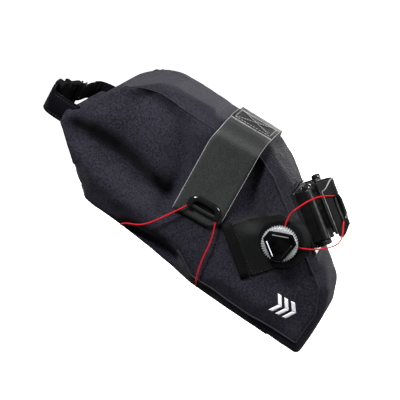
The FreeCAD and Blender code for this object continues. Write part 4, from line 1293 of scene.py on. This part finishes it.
TOP_PROFILE = [(0.0, 0.2), (3.9, 0.2), (4.5, 0.9), (4.4, 2.6), (3.6, 3.6), (2.0, 3.9), (1.7, 3.1), (0.0, 3.0)]
FOOT_PROFILE = [(0.0, 0.2), (4.0, 0.2), (4.6, 0.8), (4.6, 3.6), (4.0, 4.3), (0.0, 4.4)]
for word, profile, ribs, slot, material, flip in (("top", TOP_PROFILE, 0, "gloss_black", GLOSS, 1),
                                                  ("foot", FOOT_PROFILE, 20, "matte_black", SATIN, -1)):
    pair = []
    for side in (-1, 1):
        spot = POST @ Matrix.Translation((ROLL_X, side * ROLL_Y, flip * ROLL_HALF + ROLL_RISE))
        turned = spot @ rotation(-90.0 * flip, "X")      # local -Y turned to point out of the roll's end
        pair.append(lathe("roll_%s_cap" % word, profile, material, turned, 60, ribs, depth=0.5, rib_from=4.3))
    settle(join("roll_%s_caps_turned" % word, pair), "bag", slot, "roll_%s_caps" % word)


PAD_BACK = -16.3
PAD_FRONT = -5.5
PAD_HALF = 17.0
PAD_BORE = 13.65                 # clear of the 27.2 mm post
PAD_RIB = 0.7
PAD_TOP = 28                     # half the pad's height, modelled in steps of 1 mm
RIB_PITCH = 7.0


def make_cradle():
    """Moulded pad round the back of the post, with grip ribs across its bore and rounded outer edges."""
    lip = math.degrees(math.acos(PAD_FRONT / (PAD_BORE + PAD_RIB)))
    rows = []
    for i in range(2 * PAD_TOP + 1):
        z = i - PAD_TOP
        groove = PAD_RIB * (0.5 - 0.5 * math.cos(i * math.pi / (RIB_PITCH / 2)))
        end = 0.6 * smooth(abs(z) - (PAD_TOP - 1))
        half = PAD_HALF - end
        row = [Vector((PAD_BACK + 0.1, -half, z)), Vector((PAD_FRONT - 1.5, -half, z)),
               Vector((PAD_FRONT - 0.1 - end, -half + 1.4, z))]
        for k in range(31):
            a = math.radians(-lip - (360.0 - 2 * lip) * k / 30)
            radius = PAD_BORE + groove * smooth((1.0 - abs(k - 15) / 15) * 4) + end
            row.append(Vector((radius * math.cos(a), radius * math.sin(a), z)))
        row += [Vector((PAD_FRONT - 0.1 - end, half - 1.4, z)), Vector((PAD_FRONT - 1.5, half, z)),
                Vector((PAD_BACK + 0.1, half, z))]
        rows.append(row)
    face = closed_rows("cradle_pad", rows, RUBBER, POST)
    settle(face, "bag", "cushion", "seatpost_pad")


make_cradle()


def strap_path():
    """Wrap strap seen from above in the seatpost's frame, from its free end round the post to its hinge."""
    line = []
    for k in range(22):
        a = math.radians(FREE_END + (90.0 - FREE_END) * k / 22)
        line.append(Vector((STRAP_OUTER * math.cos(a), STRAP_OUTER * math.sin(a), 0)))
    return line + [Vector((0, STRAP_OUTER, 0)), Vector((LEG_X, STRAP_OUTER, 0))]


def strap_edges(p):
    """Heights of the strap's lower and upper edges at a place round the post."""
    a = math.degrees(math.atan2(p.y, p.x))
    low = -STRAP_HALF + 8.0 * smooth((a + 66.0) / 60.0) * (1.0 - smooth((a - 40.0) / 40.0))
    low += 3.0 * smooth((-60.0 - a) / 9.0)
    high = STRAP_HALF - 6.5 * smooth((-15.0 - a) / 54.0)
    return low, high


LINING_FACE = 13.95              # radius of the strap's hooked inner face


def make_strap():
    path = strap_path()

    def outer_point(i, k):
        low, high = strap_edges(path[k])
        return Vector((path[k].x, path[k].y, low + (high - low) * i / 24))

    def lining_point(i, k):
        p = path[k]
        bump = 0.35 if (i + k) % 2 else 0.0
        inner = Vector((p.x, p.y, 0)) * ((LINING_FACE - bump) / STRAP_OUTER)
        if p.x <= 0:
            inner = Vector((p.x, LINING_FACE - bump, 0))
        low, high = strap_edges(p)
        return inner + Vector((0, 0, low + 1.5 + (high - low - 3.0) * i / 44))

    strap = sheet_from_grid("wrap_strap", grid(25, len(path), outer_point), 1.7, COATED_DARK, POST)
    # the strap's rim faces and the bead round it carry the painted edge highlight
    add_edge_highlight(strap, EDGE_HIGHLIGHT_AND_THREAD)
    settle(strap, "strap", "coated_fabric", "seatpost_strap")
    outline = [p + Vector((0, 0, strap_edges(p)[0])) for p in path]
    outline += [p + Vector((0, 0, strap_edges(p)[1])) for p in reversed(path)]
    settle(edge_highlight_bead("wrap_strap_edge", outline + [outline[0]], POST, 0.22), "strap", "coated_fabric")
    for word, edge, inset in (("low", 0, 3.2), ("high", 1, -2.8)):
        line = [p * 1.012 + Vector((0, 0, strap_edges(p)[edge] + inset)) for p in path[1:]]
        stitch_row("strap_hem_" + word, line, POST, "strap", "coated_fabric", *HEM_STITCH)
    pile = sheet_from_grid("strap_lining", grid(45, len(path), lining_point), 0.25, PILE, POST)
    settle(pile, "strap", "hook_pile")


make_strap()


GRIP_LENGTH = 13.5               # hook field, forward from the pad's back
GRIP_HALF = 22.0
GRIP_FACE = 18.05


def make_grip():
    """Field of small hooks beside the cradle where the strap's free end holds."""
    def point_at(i, k):
        bump = 0.5 if (i + k) % 2 else 0.0
        return Vector((PAD_BACK + GRIP_LENGTH * k / 16, -GRIP_FACE - bump, -GRIP_HALF + 2 * GRIP_HALF * i / 40))

    field = sheet_from_grid("hook_field", grid(41, 17, point_at), -1.0, PILE, POST)
    settle(field, "bag", "hook_pile", "hook_and_loop_patch")


make_grip()


# ---------------------------------------------------------------- laces
LACE_RADIUS = 0.7
DIAL_MOUTH = 10.8                # where a lace leaves the spool, from the dial's axis
LACE_SINK = 3.2                  # its height over the dial's seat


def in_bag(x, y, z):
    return BAG @ Vector((x, y, z))


def from_dial(place, lift, degrees, *distances):
    """Points out along one direction from a dial's axis, at the height where the lace leaves it."""
    a = math.radians(degrees)
    return [place @ Vector((d * math.cos(a), -(lift + LACE_SINK), d * math.sin(a))) for d in distances]


def clear_of_shell(point, gap):
    """Point on a lace, moved out where it would sink into the fabric; in millimetres of the row frame."""
    hit, normal = SURFACE.find_nearest(point * MM)[:2]
    depth = (point - hit / MM).dot(normal)
    return point if depth > gap else hit / MM + normal * gap


def lace(name, route):
    """Braided cord along the route's own smooth spline, lying on the bag where it meets it."""
    curve = bpy.data.curves.new(name + "_line", "CURVE")
    curve.dimensions = "3D"
    curve.resolution_u = 10
    spline = curve.splines.new("NURBS")
    spline.points.add(len(route) - 1)
    for knot, point in zip(spline.points, route):
        knot.co = (*(point * MM), 1.0)
    spline.order_u = 3
    spline.use_endpoint_u = True
    holder = bpy.data.objects.new(name + "_line", curve)
    bpy.context.scene.collection.objects.link(holder)
    bpy.context.view_layer.update()
    read = bpy.data.meshes.new_from_object(holder)
    line = [clear_of_shell(v.co / MM, LACE_RADIUS + 0.2) for v in read.vertices]
    bpy.data.objects.remove(holder)
    for _ in range(2):
        line = [line[0]] + [(a + b * 2 + c) / 4 for a, b, c in zip(line, line[1:], line[2:])] + [line[-1]]
    tube = sweep(name, line, circle(LACE_RADIUS, 10), LACE)
    length = sum((b - a).length for a, b in zip(line, line[1:]))
    return tube


def ring_route(place, half, rise, foot, lift):
    """Points that carry a lace inside a guide's tube."""
    return [place @ p for p in arch_points(half * 1.03, rise * 1.04, foot, lift)]


front_route = from_dial(FRONT_DIAL, FRONT_LIFT, 104.0, DIAL_MOUTH, 26.0)
front_route += [Vector((-18.1, -50.0, 14.1)), Vector((-8.3, -45.5, 19.4)), Vector((1.2, -37.0, 21.9))]
front_route += ring_route(GUIDE_ON_STRAP, *STRAP_RING)
front_route += [Vector((17.1, -24.5, -22.3)), Vector((10.5, -34.0, -27.0))]
front_route += from_dial(FRONT_DIAL, FRONT_LIFT, 12.0, 26.0, DIAL_MOUTH)
front_lace = lace("front_lace_cord", front_route)
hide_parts("front_lace")
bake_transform(front_lace)

def blend_to_wing(cord):
    """Bakes a lace's placement into its mesh."""
    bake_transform(cord)


middle_rear = in_bag(-164.0, 2.0, -104.5)
middle_front = in_bag(-70.0, 1.0, -121.0)
guide_lift = WING_RING[3]
over_wing = [middle_rear, in_bag(-163.0, -22.0, -101.5), in_bag(-160.0, -46.0, -98.0),
             in_bag(-155.0, -54.5, -91.5), in_bag(-139.0, -57.0, -84.0),
             WING_GUIDE @ Vector((-26.0, -guide_lift, -20.0))]
over_wing += ring_route(WING_GUIDE, *WING_RING)
over_wing += [WING_GUIDE @ Vector((20.0, -guide_lift, -20.0)), in_bag(-77.0, -51.5, -88.0),
              in_bag(-72.5, -48.5, -108.5), in_bag(-70.5, -39.0, -115.0), middle_front]
wing_lace = lace("rail_lace_right", over_wing)
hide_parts("rail_lace")
blend_to_wing(wing_lace)
rear_left = from_dial(RAIL_DIAL, RAIL_LIFT, 300.0, DIAL_MOUTH, 32.0)
rear_left += [in_bag(-136.0, 57.5, -77.0), in_bag(-156.0, 57.0, -97.0), in_bag(-162.0, 46.0, -103.0),
              middle_rear]
front_left = from_dial(RAIL_DIAL, RAIL_LIFT, 250.0, DIAL_MOUTH, 26.0)
front_left += [in_bag(-81.0, 53.5, -88.0), in_bag(-73.0, 50.5, -115.0), in_bag(-70.0, 39.0, -119.8),
               middle_front]
for name, route in (("rail_lace_left_rear", rear_left), ("rail_lace_left_front", front_left)):
    blend_to_wing(lace(name, route))
